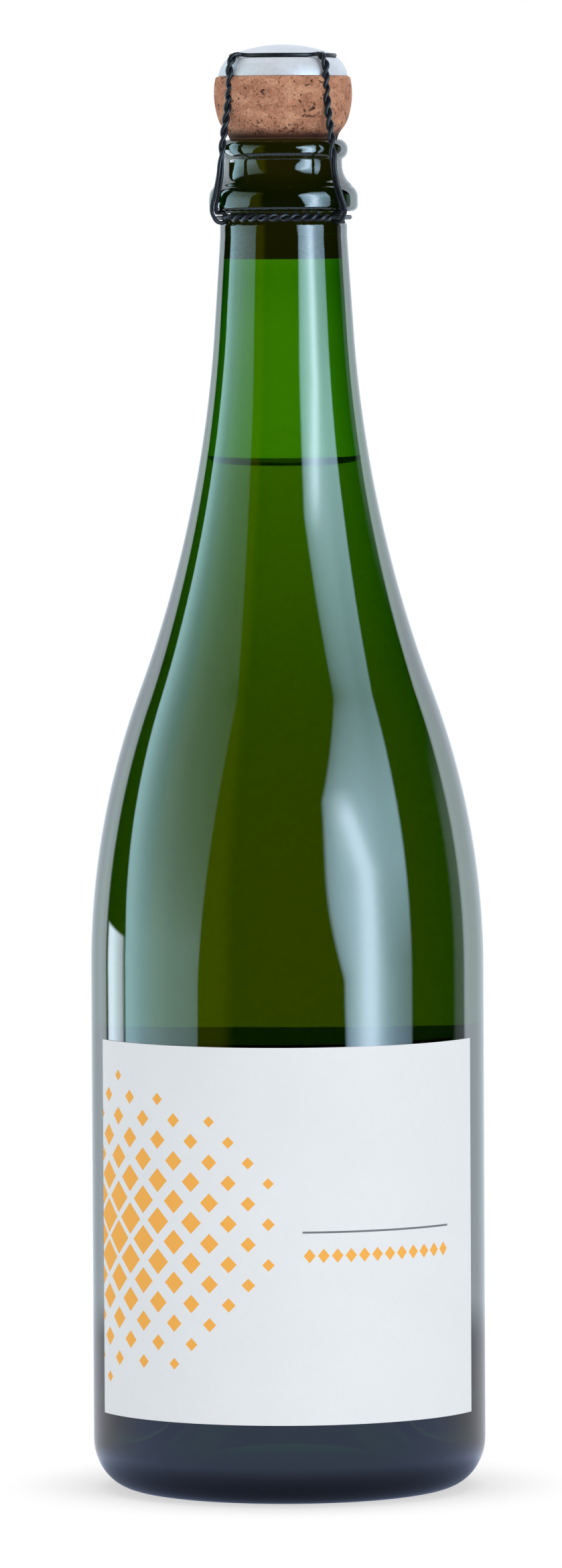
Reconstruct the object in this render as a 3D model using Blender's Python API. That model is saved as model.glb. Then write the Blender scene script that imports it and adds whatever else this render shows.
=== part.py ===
"""A full, corked and wired 75 cl sparkling wine bottle, standing on its base.

The frame: metres, +Z up, origin at the middle of the base, front label facing -Y.
Angles round the bottle are in degrees from the front, -Y, towards +X.
"""

import math

import bmesh
import bpy
from mathutils import Matrix, Vector

# Facets
GLASS_SEGMENTS = 48
TURNED_SEGMENTS = 40
DISC_SEGMENTS = 24
WIRE_BEVEL_RESOLUTION = 1
SHARP_DEGREES = 35.0

# Room left between pieces that touch
SEATING_GAP = 0.0003

# Glass, from the base up
BASE_OUTER_RADIUS = 0.0341
BASE_RING_WIDTH = 0.0026
HEEL_HEIGHT = 0.0112
PUNT_DEPTH = 0.0290
PUNT_WALL = 0.0080
BODY_RADIUS = 0.0440
BODY_WALL = 0.0055
FLOOR_HEIGHT = 0.0078
FLOOR_RADIUS = 0.0305
INNER_HEEL_HEIGHT = 0.0090
SHOULDER_HEIGHT = 0.1165
SHOULDER_RADIUS = 0.1790
NECK_SWEEP_RADIUS = 0.2870
NECK_FOOT_RADIUS = 0.01554
NECK_TAPER_DEGREES = 3.77
NECK_RADIUS = 0.0142
BOTTLE_HEIGHT = 0.3020

# Finish: bead, wire ring and the seat of the wire below it, in depths under the lip
LIP_RADIUS = 0.0123
LIP_EDGE_RADIUS = 0.0012
BEAD_RADIUS = 0.0144
BEAD_HALF_HEIGHT = 0.0023
BEAD_END_DEGREES = -68.0
GROOVE_RADIUS = 0.01315
GROOVE_DEPTH = 0.0058
GROOVE_FILLET = 0.0055
GROOVE_FILLET_DEGREES = 50.0
RING_RADIUS = 0.0166
RING_CROWN_RADIUS = 0.0023
RING_CROWN_HEIGHT = 0.0029
RING_CROWN_DEGREES = 62.0
RING_DEPTH = 0.0131
RING_BAND = 0.0013
RING_EDGE_RADIUS = 0.0012
RING_EDGE_DEGREES = -80.0
SEAT_RADIUS = 0.0137
SEAT_LENGTH = 0.0027
SEAT_FLARE_LENGTH = 0.0008
NECK_STRAIGHT = 0.0028
BORE_RADIUS = 0.0089
BORE_LENGTH = 0.0310

# Wine
FILL_HEIGHT = 0.2290

# Labels
LABEL_THICKNESS = 0.0002
LABEL_BOTTOM = 0.0185
FRONT_LABEL_TOP = 0.1024
FRONT_LABEL_HALF_DEGREES = 69.0
BACK_LABEL_TOP = 0.1005
BACK_LABEL_HALF_DEGREES = 62.0
LABEL_STEPS = 18

# Cork
CORK_DEPTH = 0.0272
CORK_DISC_THICKNESS = 0.0058
CORK_DISC_CHAMFER = 0.0004
CORK_FOOT_RADIUS = 0.0119
CORK_BULGE_RADIUS = 0.01543
CORK_BULGE_HEIGHT = 0.0098
CORK_BELLY_SHARES = ((1.4, 0.96), (1.0, 1.0), (0.68, 0.91), (0.46, 0.76), (0.3, 0.56), (0.12, 0.2))
CORK_HEAD_HEIGHT = 0.0173
CORK_SHOULDER_RADIUS = 0.0148
CORK_CROWN_RADIUS = 0.0114
WIRE_BITE = 0.00095

# Metal cap on the cork
CAP_RADIUS = 0.0142
CAP_WALL = 0.0004
CAP_SHOULDER_RADIUS = 0.0028
CAP_SKIRT = 0.0010
CAP_DOME_RADIUS = 0.0109
CAP_DOME_STEP = 0.0013
CAP_DOME_RISE = 0.0015

# Wire hood
WIRE_DIAMETER = 0.0008
STRAND_GAP = 0.0003
HOOD_YAW_DEGREES = 38.7
HOOD_LEGS = 4
TOP_RING_CORNER_DEGREES = 11.0
LEG_TURNS = 4.25
LEG_POINTS = 25
LEG_TOP_DEGREES = 62.0
LEG_EDGE_DEGREES = 4.0
LEG_CLEARANCE = 0.00048
LEG_LEAN = 0.0012
LEG_OPEN_DEPTH = 0.0062
LEG_UNTWIST_POWER = 8
LOOP_PULL_DEGREES = 16.0
LOOP_PULL_POWER = 1.5
RING_ARC_POINTS = 6
EYELET_POINTS = 15
EYELET_DRAW_SHARE = 0.4
EYELET_SHARES = ((1.15, -0.6), (0.0, -1.0), (-0.75, -0.68), (-1.0, 0.0), (-0.7, 0.72), (0.0, 1.0))

# Belt wire under the ring
BELT_WIRE_DIAMETER = 0.0009
BELT_SPLICE_START_DEGREES = 38.0
BELT_SPLICE_END_DEGREES = -50.0
BELT_SPLICE_TURNS = 3.5
BELT_SPLICE_LEAD_DEGREES = 7.0
BELT_STEP_DEGREES = 8.0
BELT_SPLICE_STEP_DEGREES = 3.6
BELT_ROOT_SHARE = 1.15
BELT_BEND_SHARE = 3.0

# Twist and its eye, at the back
TWIST_DEGREES = 175.0
TWIST_DROP_DEGREES = 160.0
TWIST_LENGTH = 0.0105
TWIST_TURNS = 3.0
TWIST_STEPS = 22
TWIST_SQUEEZE_SHARE = 0.72
TWIST_STRAND_SIDES = 6
TWIST_STRAND_DEGREES = 240.0
TWIST_ROOT_LENGTH = 0.0016
TWIST_ROOT_SHARE = 0.45
EYE_RADIUS = 0.0056
EYE_NECK_LENGTH = 0.0030
EYE_NECK_SHARES = ((0.5, 0.14), (0.82, 0.48))
EYE_OPENING_DEGREES = 30.0
EYE_POINTS = 18

# Heights and radii that follow from those above
LIP = BOTTLE_HEIGHT
BEAD_HEIGHT = LIP - BEAD_HALF_HEIGHT
RING_TOP = LIP - RING_DEPTH
RING_BOTTOM = RING_TOP - RING_BAND - RING_EDGE_RADIUS
SHANK_RADIUS = BORE_RADIUS - SEATING_GAP
CORK_BOTTOM = LIP - CORK_DEPTH
CORK_SEAT = LIP + SEATING_GAP
CORK_TOP = CORK_SEAT + CORK_HEAD_HEIGHT
CAP_LEDGE = CORK_TOP + SEATING_GAP + CAP_WALL
CAP_SHOULDER_CENTRE = (CAP_RADIUS - CAP_SHOULDER_RADIUS, CAP_LEDGE - CAP_SHOULDER_RADIUS)
CAP_EDGE = CAP_SHOULDER_CENTRE[1] - CAP_SKIRT
STRAND_SPACING = WIRE_DIAMETER + STRAND_GAP
STRAND_OFFSET = STRAND_SPACING / 2
TWIST_REACH = STRAND_OFFSET + WIRE_DIAMETER / 2
TOP_RING_RADIUS = CAP_DOME_RADIUS + SEATING_GAP + WIRE_DIAMETER / 2
TOP_RING_HEIGHT = CAP_LEDGE + SEATING_GAP + WIRE_DIAMETER / 2
EYELET_RADIUS = BELT_WIRE_DIAMETER / 2 + SEATING_GAP + WIRE_DIAMETER / 2
BELT_RADIUS = SEAT_RADIUS + SEATING_GAP + WIRE_DIAMETER / 2 + EYELET_RADIUS
BELT_HEIGHT = RING_BOTTOM - SEATING_GAP - WIRE_DIAMETER / 2 - EYELET_RADIUS
BELT_OFFSET = (BELT_WIRE_DIAMETER + STRAND_GAP) / 2
TWIST_ROOT_RADIUS = RING_RADIUS + SEATING_GAP + TWIST_REACH


def arc(centre, radii, start, end, steps):
    """Points on an ellipse's arc in the (radius, height) plane, angles in degrees from +radius."""
    points = []
    for i in range(steps + 1):
        a = math.radians(start + (end - start) * i / steps)
        points.append((centre[0] + radii[0] * math.cos(a), centre[1] + radii[1] * math.sin(a)))
    return points


def bell(radius, base, height, steps):
    """Half of a bell's outline, from its rim to its top on the axis."""
    points = []
    for i in range(steps + 1):
        share = 1 - i / steps
        points.append((radius * share, base + height * (1 + math.cos(math.pi * share)) / 2))
    return points


def around(radius, degrees, height):
    """The point at this radius, angle round the bottle and height."""
    a = math.radians(degrees)
    return Vector((radius * math.sin(a), -radius * math.cos(a), height))


def smooth_curve(keys, count):
    """A smooth curve through the key points, as count points at equal steps along it."""
    dense_steps = 24
    ends = [keys[0] * 2 - keys[1]] + keys + [keys[-1] * 2 - keys[-2]]
    dense = []
    for p0, p1, p2, p3 in zip(ends, ends[1:], ends[2:], ends[3:]):
        for i in range(dense_steps):
            t = i / dense_steps
            bend = p0 * 2 - p1 * 5 + p2 * 4 - p3
            swing = p1 * 3 - p0 - p2 * 3 + p3
            dense.append((p1 * 2 + (p2 - p0) * t + bend * t**2 + swing * t**3) / 2)
    dense.append(keys[-1])
    lengths = [0.0]
    for a, b in zip(dense, dense[1:]):
        lengths.append(lengths[-1] + (b - a).length)
    points = []
    place = 0
    for i in range(count):
        wanted = lengths[-1] * i / (count - 1)
        while place < len(dense) - 2 and lengths[place + 1] < wanted:
            place += 1
        share = (wanted - lengths[place]) / (lengths[place + 1] - lengths[place])
        points.append(dense[place].lerp(dense[place + 1], min(share, 1.0)))
    return points


def finish(name, color, roughness, metallic=0.0, transmission=0.0, ior=1.5):
    """A Principled material."""
    material = bpy.data.materials.new(name)
    material.use_nodes = True
    shader = material.node_tree.nodes["Principled BSDF"]
    shader.inputs["Base Color"].default_value = (*color, 1.0)
    shader.inputs["Roughness"].default_value = roughness
    shader.inputs["Metallic"].default_value = metallic
    shader.inputs["Transmission Weight"].default_value = transmission
    shader.inputs["IOR"].default_value = ior
    material.diffuse_color = (*color, 1.0)
    return material


def place(name, data, material, parent=None):
    """An object for the mesh or curve, in the scene and under its parent."""
    piece = bpy.data.objects.new(name, data)
    piece.data.materials.append(material)
    bpy.context.scene.collection.objects.link(piece)
    if parent:
        piece.parent = parent
        piece.matrix_parent_inverse = parent_matrix(parent).inverted()
    return piece


def parent_matrix(empty):
    """Where an empty stands in the world."""
    own = Matrix.Translation(empty.location) @ empty.rotation_euler.to_matrix().to_4x4()
    if empty.parent:
        return parent_matrix(empty.parent) @ empty.matrix_parent_inverse @ own
    return own


def pivot(name, location, parent=None):
    """An empty on a joint's axis."""
    empty = bpy.data.objects.new(name, None)
    empty.location = location
    bpy.context.scene.collection.objects.link(empty)
    if parent:
        empty.parent = parent
        empty.matrix_parent_inverse = parent_matrix(parent).inverted()
    return empty


def turned_mesh(name, outline, segments):
    """A closed solid turned from an outline that starts and ends on the axis."""
    bm = bmesh.new()
    verts = [bm.verts.new((radius, 0.0, height)) for radius, height in outline]
    edges = [bm.edges.new(pair) for pair in zip(verts, verts[1:])]
    bmesh.ops.spin(
        bm,
        geom=verts + edges,
        cent=(0, 0, 0),
        axis=(0, 0, 1),
        angle=math.tau,
        steps=segments,
        use_merge=True,
    )
    bmesh.ops.remove_doubles(bm, verts=bm.verts, dist=SEATING_GAP / 100)
    bmesh.ops.recalc_face_normals(bm, faces=bm.faces)
    return settled(name, bm)


def settled(name, bm):
    """The finished mesh, shaded smooth with its edges kept sharp."""
    mesh = bpy.data.meshes.new(name)
    bm.to_mesh(mesh)
    bm.free()
    mesh.shade_smooth()
    mesh.set_sharp_from_angle(angle=math.radians(SHARP_DEGREES))
    return mesh


def wire_curve(name, points, diameter, closed):
    """A round wire along the points."""
    curve = bpy.data.curves.new(name, "CURVE")
    curve.dimensions = "3D"
    curve.bevel_depth = diameter / 2
    curve.bevel_resolution = WIRE_BEVEL_RESOLUTION
    curve.use_fill_caps = True
    spline = curve.splines.new("POLY")
    spline.points.add(len(points) - 1)
    for target, point in zip(spline.points, points):
        target.co = (*point, 1.0)
    spline.use_cyclic_u = closed
    spline.use_smooth = True
    return curve


def shoulder_outline(inset, steps, top=None):
    """The sweep from the neck's foot, or the height top, down to the body, moved in by inset."""
    taper = math.radians(NECK_TAPER_DEGREES)
    both = SHOULDER_RADIUS + NECK_SWEEP_RADIUS
    narrowing = BODY_RADIUS - NECK_FOOT_RADIUS
    steepest = math.acos((SHOULDER_RADIUS + NECK_SWEEP_RADIUS * math.cos(taper) - narrowing) / both)
    centre = (BODY_RADIUS - SHOULDER_RADIUS, SHOULDER_HEIGHT)
    sweep_centre = (centre[0] + both * math.cos(steepest), centre[1] + both * math.sin(steepest))
    sweep = NECK_SWEEP_RADIUS + inset
    start = taper if top is None else math.asin((sweep_centre[1] - top) / sweep)
    half_turn = 180.0
    upper = arc(
        sweep_centre,
        (sweep, sweep),
        half_turn + math.degrees(start),
        half_turn + math.degrees(steepest),
        steps,
    )
    shoulder = SHOULDER_RADIUS - inset
    return upper + arc(centre, (shoulder, shoulder), math.degrees(steepest), 0, steps)[1:]


def floor_outline(inset):
    """The cavity's foot, from the wall over the floor to the top of the punt, moved in by inset."""
    heel_centre = (FLOOR_RADIUS, FLOOR_HEIGHT + INNER_HEEL_HEIGHT)
    across = BODY_RADIUS - BODY_WALL - FLOOR_RADIUS - inset
    punt_top = PUNT_DEPTH + PUNT_WALL - FLOOR_HEIGHT + inset
    heel = arc(heel_centre, (across, INNER_HEEL_HEIGHT - inset), 0, -90, 3)
    return heel + bell(FLOOR_RADIUS, FLOOR_HEIGHT + inset, punt_top, 4)[1:]


def finish_outline():
    """The outside of the mouth: bead, groove, wire ring, seat and straight neck, from the lip down."""
    bead = arc(
        (LIP_RADIUS, BEAD_HEIGHT),
        (BEAD_RADIUS - LIP_RADIUS, BEAD_HALF_HEIGHT),
        90,
        BEAD_END_DEGREES,
        4,
    )
    groove = arc(
        (GROOVE_RADIUS + GROOVE_FILLET, LIP - GROOVE_DEPTH),
        (GROOVE_FILLET, GROOVE_FILLET),
        180,
        180 + GROOVE_FILLET_DEGREES,
        2,
    )
    crown = arc(
        (RING_RADIUS - RING_CROWN_RADIUS, RING_TOP),
        (RING_CROWN_RADIUS, RING_CROWN_HEIGHT),
        RING_CROWN_DEGREES,
        0,
        2,
    )
    edge = arc(
        (RING_RADIUS - RING_EDGE_RADIUS, RING_TOP - RING_BAND),
        (RING_EDGE_RADIUS, RING_EDGE_RADIUS),
        0,
        RING_EDGE_DEGREES,
        2,
    )
    seat_bottom = RING_BOTTOM - SEAT_LENGTH
    neck_top = seat_bottom - SEAT_FLARE_LENGTH
    below = [
        (SEAT_RADIUS, RING_BOTTOM),
        (SEAT_RADIUS, seat_bottom),
        (NECK_RADIUS, neck_top),
        (NECK_RADIUS, neck_top - NECK_STRAIGHT),
    ]
    return bead + groove + crown + edge + below


def glass_outline():
    """The bottle's section: up the inside from the punt, over the lip and down the outside."""
    inside = floor_outline(0)[::-1] + shoulder_outline(BODY_WALL, 3)[::-1]
    lip_edge = arc(
        (BORE_RADIUS + LIP_EDGE_RADIUS, LIP - LIP_EDGE_RADIUS),
        (LIP_EDGE_RADIUS, LIP_EDGE_RADIUS),
        180,
        90,
        2,
    )
    bore = [(BORE_RADIUS, LIP - BORE_LENGTH)] + lip_edge
    outside = finish_outline() + shoulder_outline(0, 5)
    heel = arc(
        (BASE_OUTER_RADIUS, HEEL_HEIGHT),
        (BODY_RADIUS - BASE_OUTER_RADIUS, HEEL_HEIGHT),
        0,
        -90,
        4,
    )
    return inside + bore + outside + heel + bell(BASE_OUTER_RADIUS - BASE_RING_WIDTH, 0, PUNT_DEPTH, 6)


def wine_outline():
    """The wine's section, from the middle of its surface down the wall to the top of the punt."""
    wall = shoulder_outline(BODY_WALL + SEATING_GAP, 3, FILL_HEIGHT)
    return [(0, FILL_HEIGHT)] + wall + floor_outline(SEATING_GAP)


def make_label(name, middle_degrees, half_degrees, top, material):
    """A paper label, bent round the body."""
    bm = bmesh.new()
    radius = BODY_RADIUS + SEATING_GAP
    start = middle_degrees - half_degrees
    low = bm.verts.new(around(radius, start, LABEL_BOTTOM))
    high = bm.verts.new(around(radius, start, top))
    edge = bm.edges.new((low, high))
    bmesh.ops.spin(
        bm,
        geom=[low, high, edge],
        cent=(0, 0, 0),
        axis=(0, 0, 1),
        angle=math.radians(2 * half_degrees),
        steps=LABEL_STEPS,
    )
    faces = list(bm.faces)
    if faces[0].normal.dot(faces[0].calc_center_median()) < 0:
        bmesh.ops.reverse_faces(bm, faces=faces)
    label = place(name, settled(name, bm), material)
    paper = label.modifiers.new("paper", "SOLIDIFY")
    paper.thickness = LABEL_THICKNESS
    paper.offset = 1.0
    paper.use_even_offset = True
    return label


def cork_outline():
    """The agglomerated cork's section, from the middle of its crown to the foot of its shank."""
    crown_step = CAP_WALL + SEATING_GAP
    under_cap = CAP_RADIUS - crown_step
    cap_corner = CAP_SHOULDER_CENTRE[1]
    crown = arc(
        (CORK_CROWN_RADIUS, cap_corner),
        (under_cap - CORK_CROWN_RADIUS, CORK_TOP - cap_corner),
        90,
        0,
        3,
    )
    shoulder = [
        (under_cap, CAP_EDGE - SEATING_GAP),
        (CORK_SHOULDER_RADIUS, CAP_EDGE - 2 * SEATING_GAP),
    ]
    spread = CORK_BULGE_RADIUS - CORK_FOOT_RADIUS
    belly = []
    for height_share, spread_share in CORK_BELLY_SHARES:
        height = CORK_SEAT + CORK_BULGE_HEIGHT * height_share
        belly.append((CORK_FOOT_RADIUS + spread * spread_share, height))
    above_discs = CORK_BOTTOM + 2 * (CORK_DISC_THICKNESS + SEATING_GAP)
    foot = [
        (CORK_FOOT_RADIUS, CORK_SEAT),
        (SHANK_RADIUS, CORK_SEAT),
        (SHANK_RADIUS, above_discs),
        (0, above_discs),
    ]
    return [(0, CORK_TOP)] + crown + shoulder + belly + foot


def make_cork_body(material, parent):
    """The agglomerated cork, with the marks that the hood's four legs press into its head."""
    mesh = turned_mesh("cork_body", cork_outline(), TURNED_SEGMENTS)
    mesh.transform(Matrix.Rotation(math.radians(HOOD_YAW_DEGREES - 90), 4, "Z"))
    column = math.radians(180 / TURNED_SEGMENTS)
    for vertex in mesh.vertices:
        flat = vertex.co.to_2d()
        if flat.length < CORK_SHOULDER_RADIUS - SEATING_GAP or vertex.co.z < CORK_SEAT:
            continue
        for leg in range(HOOD_LEGS):
            leg_way = around(1, HOOD_YAW_DEGREES + 360 / HOOD_LEGS * leg, 0).to_2d()
            if flat.angle(leg_way) < column:
                vertex.co -= leg_way.to_3d() * WIRE_BITE
    return place("cork_body", mesh, material, parent)


def make_cork_disc(name, bottom, material, parent):
    """A disc of natural cork glued under the agglomerated body."""
    top = bottom + CORK_DISC_THICKNESS
    inner = SHANK_RADIUS - CORK_DISC_CHAMFER
    outline = [
        (0, top),
        (inner, top),
        (SHANK_RADIUS, top - CORK_DISC_CHAMFER),
        (SHANK_RADIUS, bottom + CORK_DISC_CHAMFER),
        (inner, bottom),
        (0, bottom),
    ]
    return place(name, turned_mesh(name, outline, DISC_SEGMENTS), material, parent)


def cap_outline():
    """The pressed cap's section: dome, ledge for the wire, rounded shoulder and skirt, then inside."""
    dome_edge = CAP_LEDGE + CAP_DOME_STEP
    dome_top = dome_edge + CAP_DOME_RISE
    dome = [(0, dome_top)]
    inner_dome = []
    steps = 3
    for i in range(1, steps + 1):
        share = i / steps
        dome.append((CAP_DOME_RADIUS * share, dome_top - CAP_DOME_RISE * share**2))
    for radius, height in dome:
        inner_dome.append((radius * (1 - CAP_WALL / CAP_DOME_RADIUS), height - CAP_WALL))
    outer_radii = (CAP_SHOULDER_RADIUS, CAP_SHOULDER_RADIUS)
    shoulder = arc(CAP_SHOULDER_CENTRE, outer_radii, 90, 0, 3)
    inner_radius = CAP_SHOULDER_RADIUS - CAP_WALL
    inner_shoulder = arc(CAP_SHOULDER_CENTRE, (inner_radius, inner_radius), 0, 90, 2)
    outside = dome + [(CAP_DOME_RADIUS, CAP_LEDGE)] + shoulder + [(CAP_RADIUS, CAP_EDGE)]
    ledge_inside = (CAP_DOME_RADIUS - CAP_WALL, CAP_LEDGE - CAP_WALL)
    return outside + [(CAP_RADIUS - CAP_WALL, CAP_EDGE)] + inner_shoulder + [ledge_inside] + inner_dome[::-1]


def leg_angle(leg, height):
    """The angle of a hood leg at this height: the belt pulls its open loop towards the twist."""
    start = HOOD_YAW_DEGREES + 360 / HOOD_LEGS * leg
    opening = LIP - LEG_OPEN_DEPTH
    share = (opening - height) / (opening - BELT_HEIGHT - EYELET_RADIUS)
    pull = LOOP_PULL_DEGREES * math.sin(math.radians(TWIST_DEGREES - start))
    return start + pull * min(max(share, 0.0), 1.0) ** LOOP_PULL_POWER


def leg_axis():
    """The middle of a leg's twisted pair in the (radius, height) plane, from the cap to where it opens."""
    over_cap = CAP_SHOULDER_RADIUS + SEATING_GAP + TWIST_REACH
    keys = []
    for point in arc(CAP_SHOULDER_CENTRE, (over_cap, over_cap), LEG_TOP_DEGREES, LEG_EDGE_DEGREES, 3):
        keys.append(Vector((*point, 0)))
    beside_cork = CORK_BULGE_RADIUS - WIRE_BITE + LEG_CLEARANCE + TWIST_REACH
    keys.append(Vector((beside_cork, CORK_SEAT + CORK_BULGE_HEIGHT, 0)))
    keys.append(Vector((beside_cork + LEG_LEAN, LIP, 0)))
    keys.append(Vector((TWIST_ROOT_RADIUS, LIP - LEG_OPEN_DEPTH, 0)))
    return keys


def eyelet_keys():
    """Round the belt wire, from the leg's outer strand to its inner one, in the (radius, height) plane."""
    inner_strand = RING_RADIUS + SEATING_GAP + WIRE_DIAMETER / 2
    outer_strand = inner_strand + STRAND_SPACING
    opening = leg_axis()[-1]
    beside_ring = RING_TOP - RING_BAND
    draw = EYELET_RADIUS * EYELET_DRAW_SHARE
    outer = [
        (opening.x + STRAND_OFFSET, opening.y),
        (outer_strand, RING_TOP),
        (outer_strand, beside_ring),
        (outer_strand - draw, BELT_HEIGHT + EYELET_RADIUS),
    ]
    inner = [
        (inner_strand - draw, BELT_HEIGHT + EYELET_RADIUS),
        (inner_strand, beside_ring),
        (inner_strand, RING_TOP),
        (opening.x - STRAND_OFFSET, opening.y),
    ]
    bend = []
    for radius_share, height_share in EYELET_SHARES:
        radius = BELT_RADIUS + EYELET_RADIUS * radius_share
        bend.append((radius, BELT_HEIGHT + EYELET_RADIUS * height_share))
    return [Vector((radius, height, 0)) for radius, height in outer + bend + inner]


def hood_points():
    """One closed line for the whole hood: ring quarter, down a leg, round the belt, up, and so on."""
    axis = smooth_curve(leg_axis(), LEG_POINTS)
    strand = []
    for i, middle in enumerate(axis):
        share = i / (LEG_POINTS - 1)
        along = (axis[min(i + 1, LEG_POINTS - 1)] - axis[max(i - 1, 0)]).normalized()
        out = Vector((-along.y, along.x, 0))
        power = LEG_UNTWIST_POWER
        turned = (power * share - share**power) / (power - 1)
        strand.append((middle, out, math.tau * LEG_TURNS * turned))
    eyelet = smooth_curve(eyelet_keys(), EYELET_POINTS)
    points = []
    for leg in range(HOOD_LEGS):
        down = []
        up = []
        angle = leg_angle(leg, CAP_LEDGE)
        for middle, out, turn in strand:
            sideways = around(1, angle + 90, 0)
            for way, phase in ((down, math.pi), (up, 0.0)):
                flat = middle + out * STRAND_OFFSET * math.sin(turn + phase)
                point = around(flat.x, angle, flat.y)
                way.append(point + sideways * STRAND_OFFSET * math.cos(turn + phase))
        loop = [around(key.x, leg_angle(leg, key.y), key.y) for key in eyelet[1:-1]]
        if (loop[0] - down[-1]).length > (loop[0] - up[-1]).length:
            loop.reverse()
        quarter = 360 / HOOD_LEGS
        ring_start = angle + TOP_RING_CORNER_DEGREES
        ring_sweep = quarter - 2 * TOP_RING_CORNER_DEGREES
        ring = []
        for i in range(RING_ARC_POINTS + 1):
            ring_angle = ring_start + ring_sweep * i / RING_ARC_POINTS
            ring.append(around(TOP_RING_RADIUS, ring_angle, TOP_RING_HEIGHT))
        on_to_ring = ring_corner(up[0], ring[0], angle, 1)
        before = around(TOP_RING_RADIUS, angle - TOP_RING_CORNER_DEGREES, TOP_RING_HEIGHT)
        off_ring = ring_corner(down[0], before, angle, -1)
        points += off_ring[::-1] + down + loop + up[::-1] + on_to_ring + ring
    return points


def ring_corner(strand_end, ring_end, angle, side):
    """The bend between a leg's strand and the ring on the cap, on one side of the leg."""
    corner = around(TOP_RING_RADIUS, angle, TOP_RING_HEIGHT) + around(STRAND_OFFSET, angle + 90, 0) * side
    points = []
    for share in (1 / 3, 2 / 3):
        points.append(strand_end.lerp(corner, share).lerp(corner.lerp(ring_end, share), share))
    return points


def belt_strand(root, near, far, phase):
    """Half of the belt: from the twist at the back, round to the splice in front and through it."""
    way = 1 if near > root else -1
    out = around(1, TWIST_DEGREES, 0)
    across = around(1, TWIST_DEGREES + 90, 0) * way
    height = Vector((0, 0, BELT_HEIGHT))
    root_reach = TWIST_ROOT_RADIUS - SEATING_GAP - WIRE_DIAMETER
    keys = [
        out * root_reach + across * BELT_OFFSET + height,
        out * (root_reach + BELT_RADIUS) / 2 + across * BELT_OFFSET * BELT_ROOT_SHARE + height,
    ]
    first = root + way * math.degrees(BELT_BEND_SHARE * BELT_OFFSET / BELT_RADIUS)
    lead = near - way * BELT_SPLICE_LEAD_DEGREES
    steps = round(abs(lead - first) / BELT_STEP_DEGREES)
    for i in range(steps + 1):
        keys.append(around(BELT_RADIUS, first + (lead - first) * i / steps, BELT_HEIGHT))
    steps = round(abs(far - lead) / BELT_SPLICE_STEP_DEGREES)
    span = BELT_SPLICE_START_DEGREES - BELT_SPLICE_END_DEGREES
    for i in range(1, steps + 1):
        angle = lead + (far - lead) * i / steps
        turn = math.tau * BELT_SPLICE_TURNS * (angle - BELT_SPLICE_END_DEGREES) / span + phase
        offset = BELT_OFFSET * min(1.0, abs(angle - lead) / BELT_SPLICE_LEAD_DEGREES)
        radius = BELT_RADIUS + offset * math.cos(turn)
        keys.append(around(radius, angle, BELT_HEIGHT + offset * math.sin(turn)))
    return keys


def make_twist(material, parent):
    """The twisted pair at the back, swept from the section of two wires side by side."""
    bm = bmesh.new()
    section = []
    radius = WIRE_DIAMETER / 2
    for side in (1, -1):
        for i in range(TWIST_STRAND_SIDES):
            a = math.radians(TWIST_STRAND_DEGREES * (i / (TWIST_STRAND_SIDES - 1) - 0.5))
            reach = STRAND_OFFSET * TWIST_SQUEEZE_SHARE + radius * math.cos(a)
            section.append((reach * side, radius * math.sin(a) * side))
    rings = []
    for i in range(TWIST_STEPS + 1):
        share = i / TWIST_STEPS
        along = SEATING_GAP + TWIST_LENGTH * share
        grown = TWIST_ROOT_SHARE + (1 - TWIST_ROOT_SHARE) * min(1.0, along / TWIST_ROOT_LENGTH)
        turn = Matrix.Rotation(math.tau * TWIST_TURNS * share, 3, "Z")
        ring = [bm.verts.new(turn @ Vector((x * grown, y * grown, -along))) for x, y in section]
        rings.append(ring)
    for first, second in zip(rings, rings[1:]):
        for i in range(len(section)):
            j = (i + 1) % len(section)
            bm.faces.new((first[i], first[j], second[j], second[i]))
    bm.faces.new(rings[0])
    bm.faces.new(rings[-1][::-1])
    bmesh.ops.recalc_face_normals(bm, faces=bm.faces)
    bmesh.ops.transform(bm, matrix=twist_matrix(), verts=bm.verts)
    return place("twist_stem", settled("twist_stem", bm), material, parent)


def twist_matrix():
    """The twist's own frame: its root at the origin, hanging along -Z, its eye across X."""
    root = around(TWIST_ROOT_RADIUS, TWIST_DEGREES, BELT_HEIGHT)
    swing = Matrix.Rotation(math.radians(-TWIST_DROP_DEGREES), 4, "X")
    return Matrix.Translation(root) @ Matrix.Rotation(math.radians(TWIST_DEGREES), 4, "Z") @ swing


def make_eye(material, parent):
    """The eye that a thumb and finger turn: a ring drawn in to a neck at the end of the twist."""
    start = SEATING_GAP * 2 + TWIST_LENGTH + WIRE_DIAMETER / 2
    neck_end = start + EYE_NECK_LENGTH
    middle = neck_end + EYE_RADIUS * math.cos(math.radians(EYE_OPENING_DEGREES))
    neck_start = start + STRAND_OFFSET
    spread = EYE_RADIUS * math.sin(math.radians(EYE_OPENING_DEGREES)) - STRAND_OFFSET
    neck = [(STRAND_OFFSET, -neck_start)]
    for length_share, spread_share in EYE_NECK_SHARES:
        depth = neck_start + (neck_end - neck_start) * length_share
        neck.append((STRAND_OFFSET + spread * spread_share, -depth))
    radii = (EYE_RADIUS, EYE_RADIUS)
    ring = arc((0, -middle), radii, 90 - EYE_OPENING_DEGREES, EYE_OPENING_DEGREES - 270, EYE_POINTS)
    top = arc((0, -neck_start), (STRAND_OFFSET, STRAND_OFFSET), 180, 0, 4)
    back = [(-x, z) for x, z in reversed(neck)]
    matrix = twist_matrix()
    points = [matrix @ Vector((x, 0, z)) for x, z in neck + ring + back + top[1:-1]]
    wire = wire_curve("twist_loop", points, WIRE_DIAMETER, True)
    return place("twist_loop", wire, material, parent)


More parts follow.
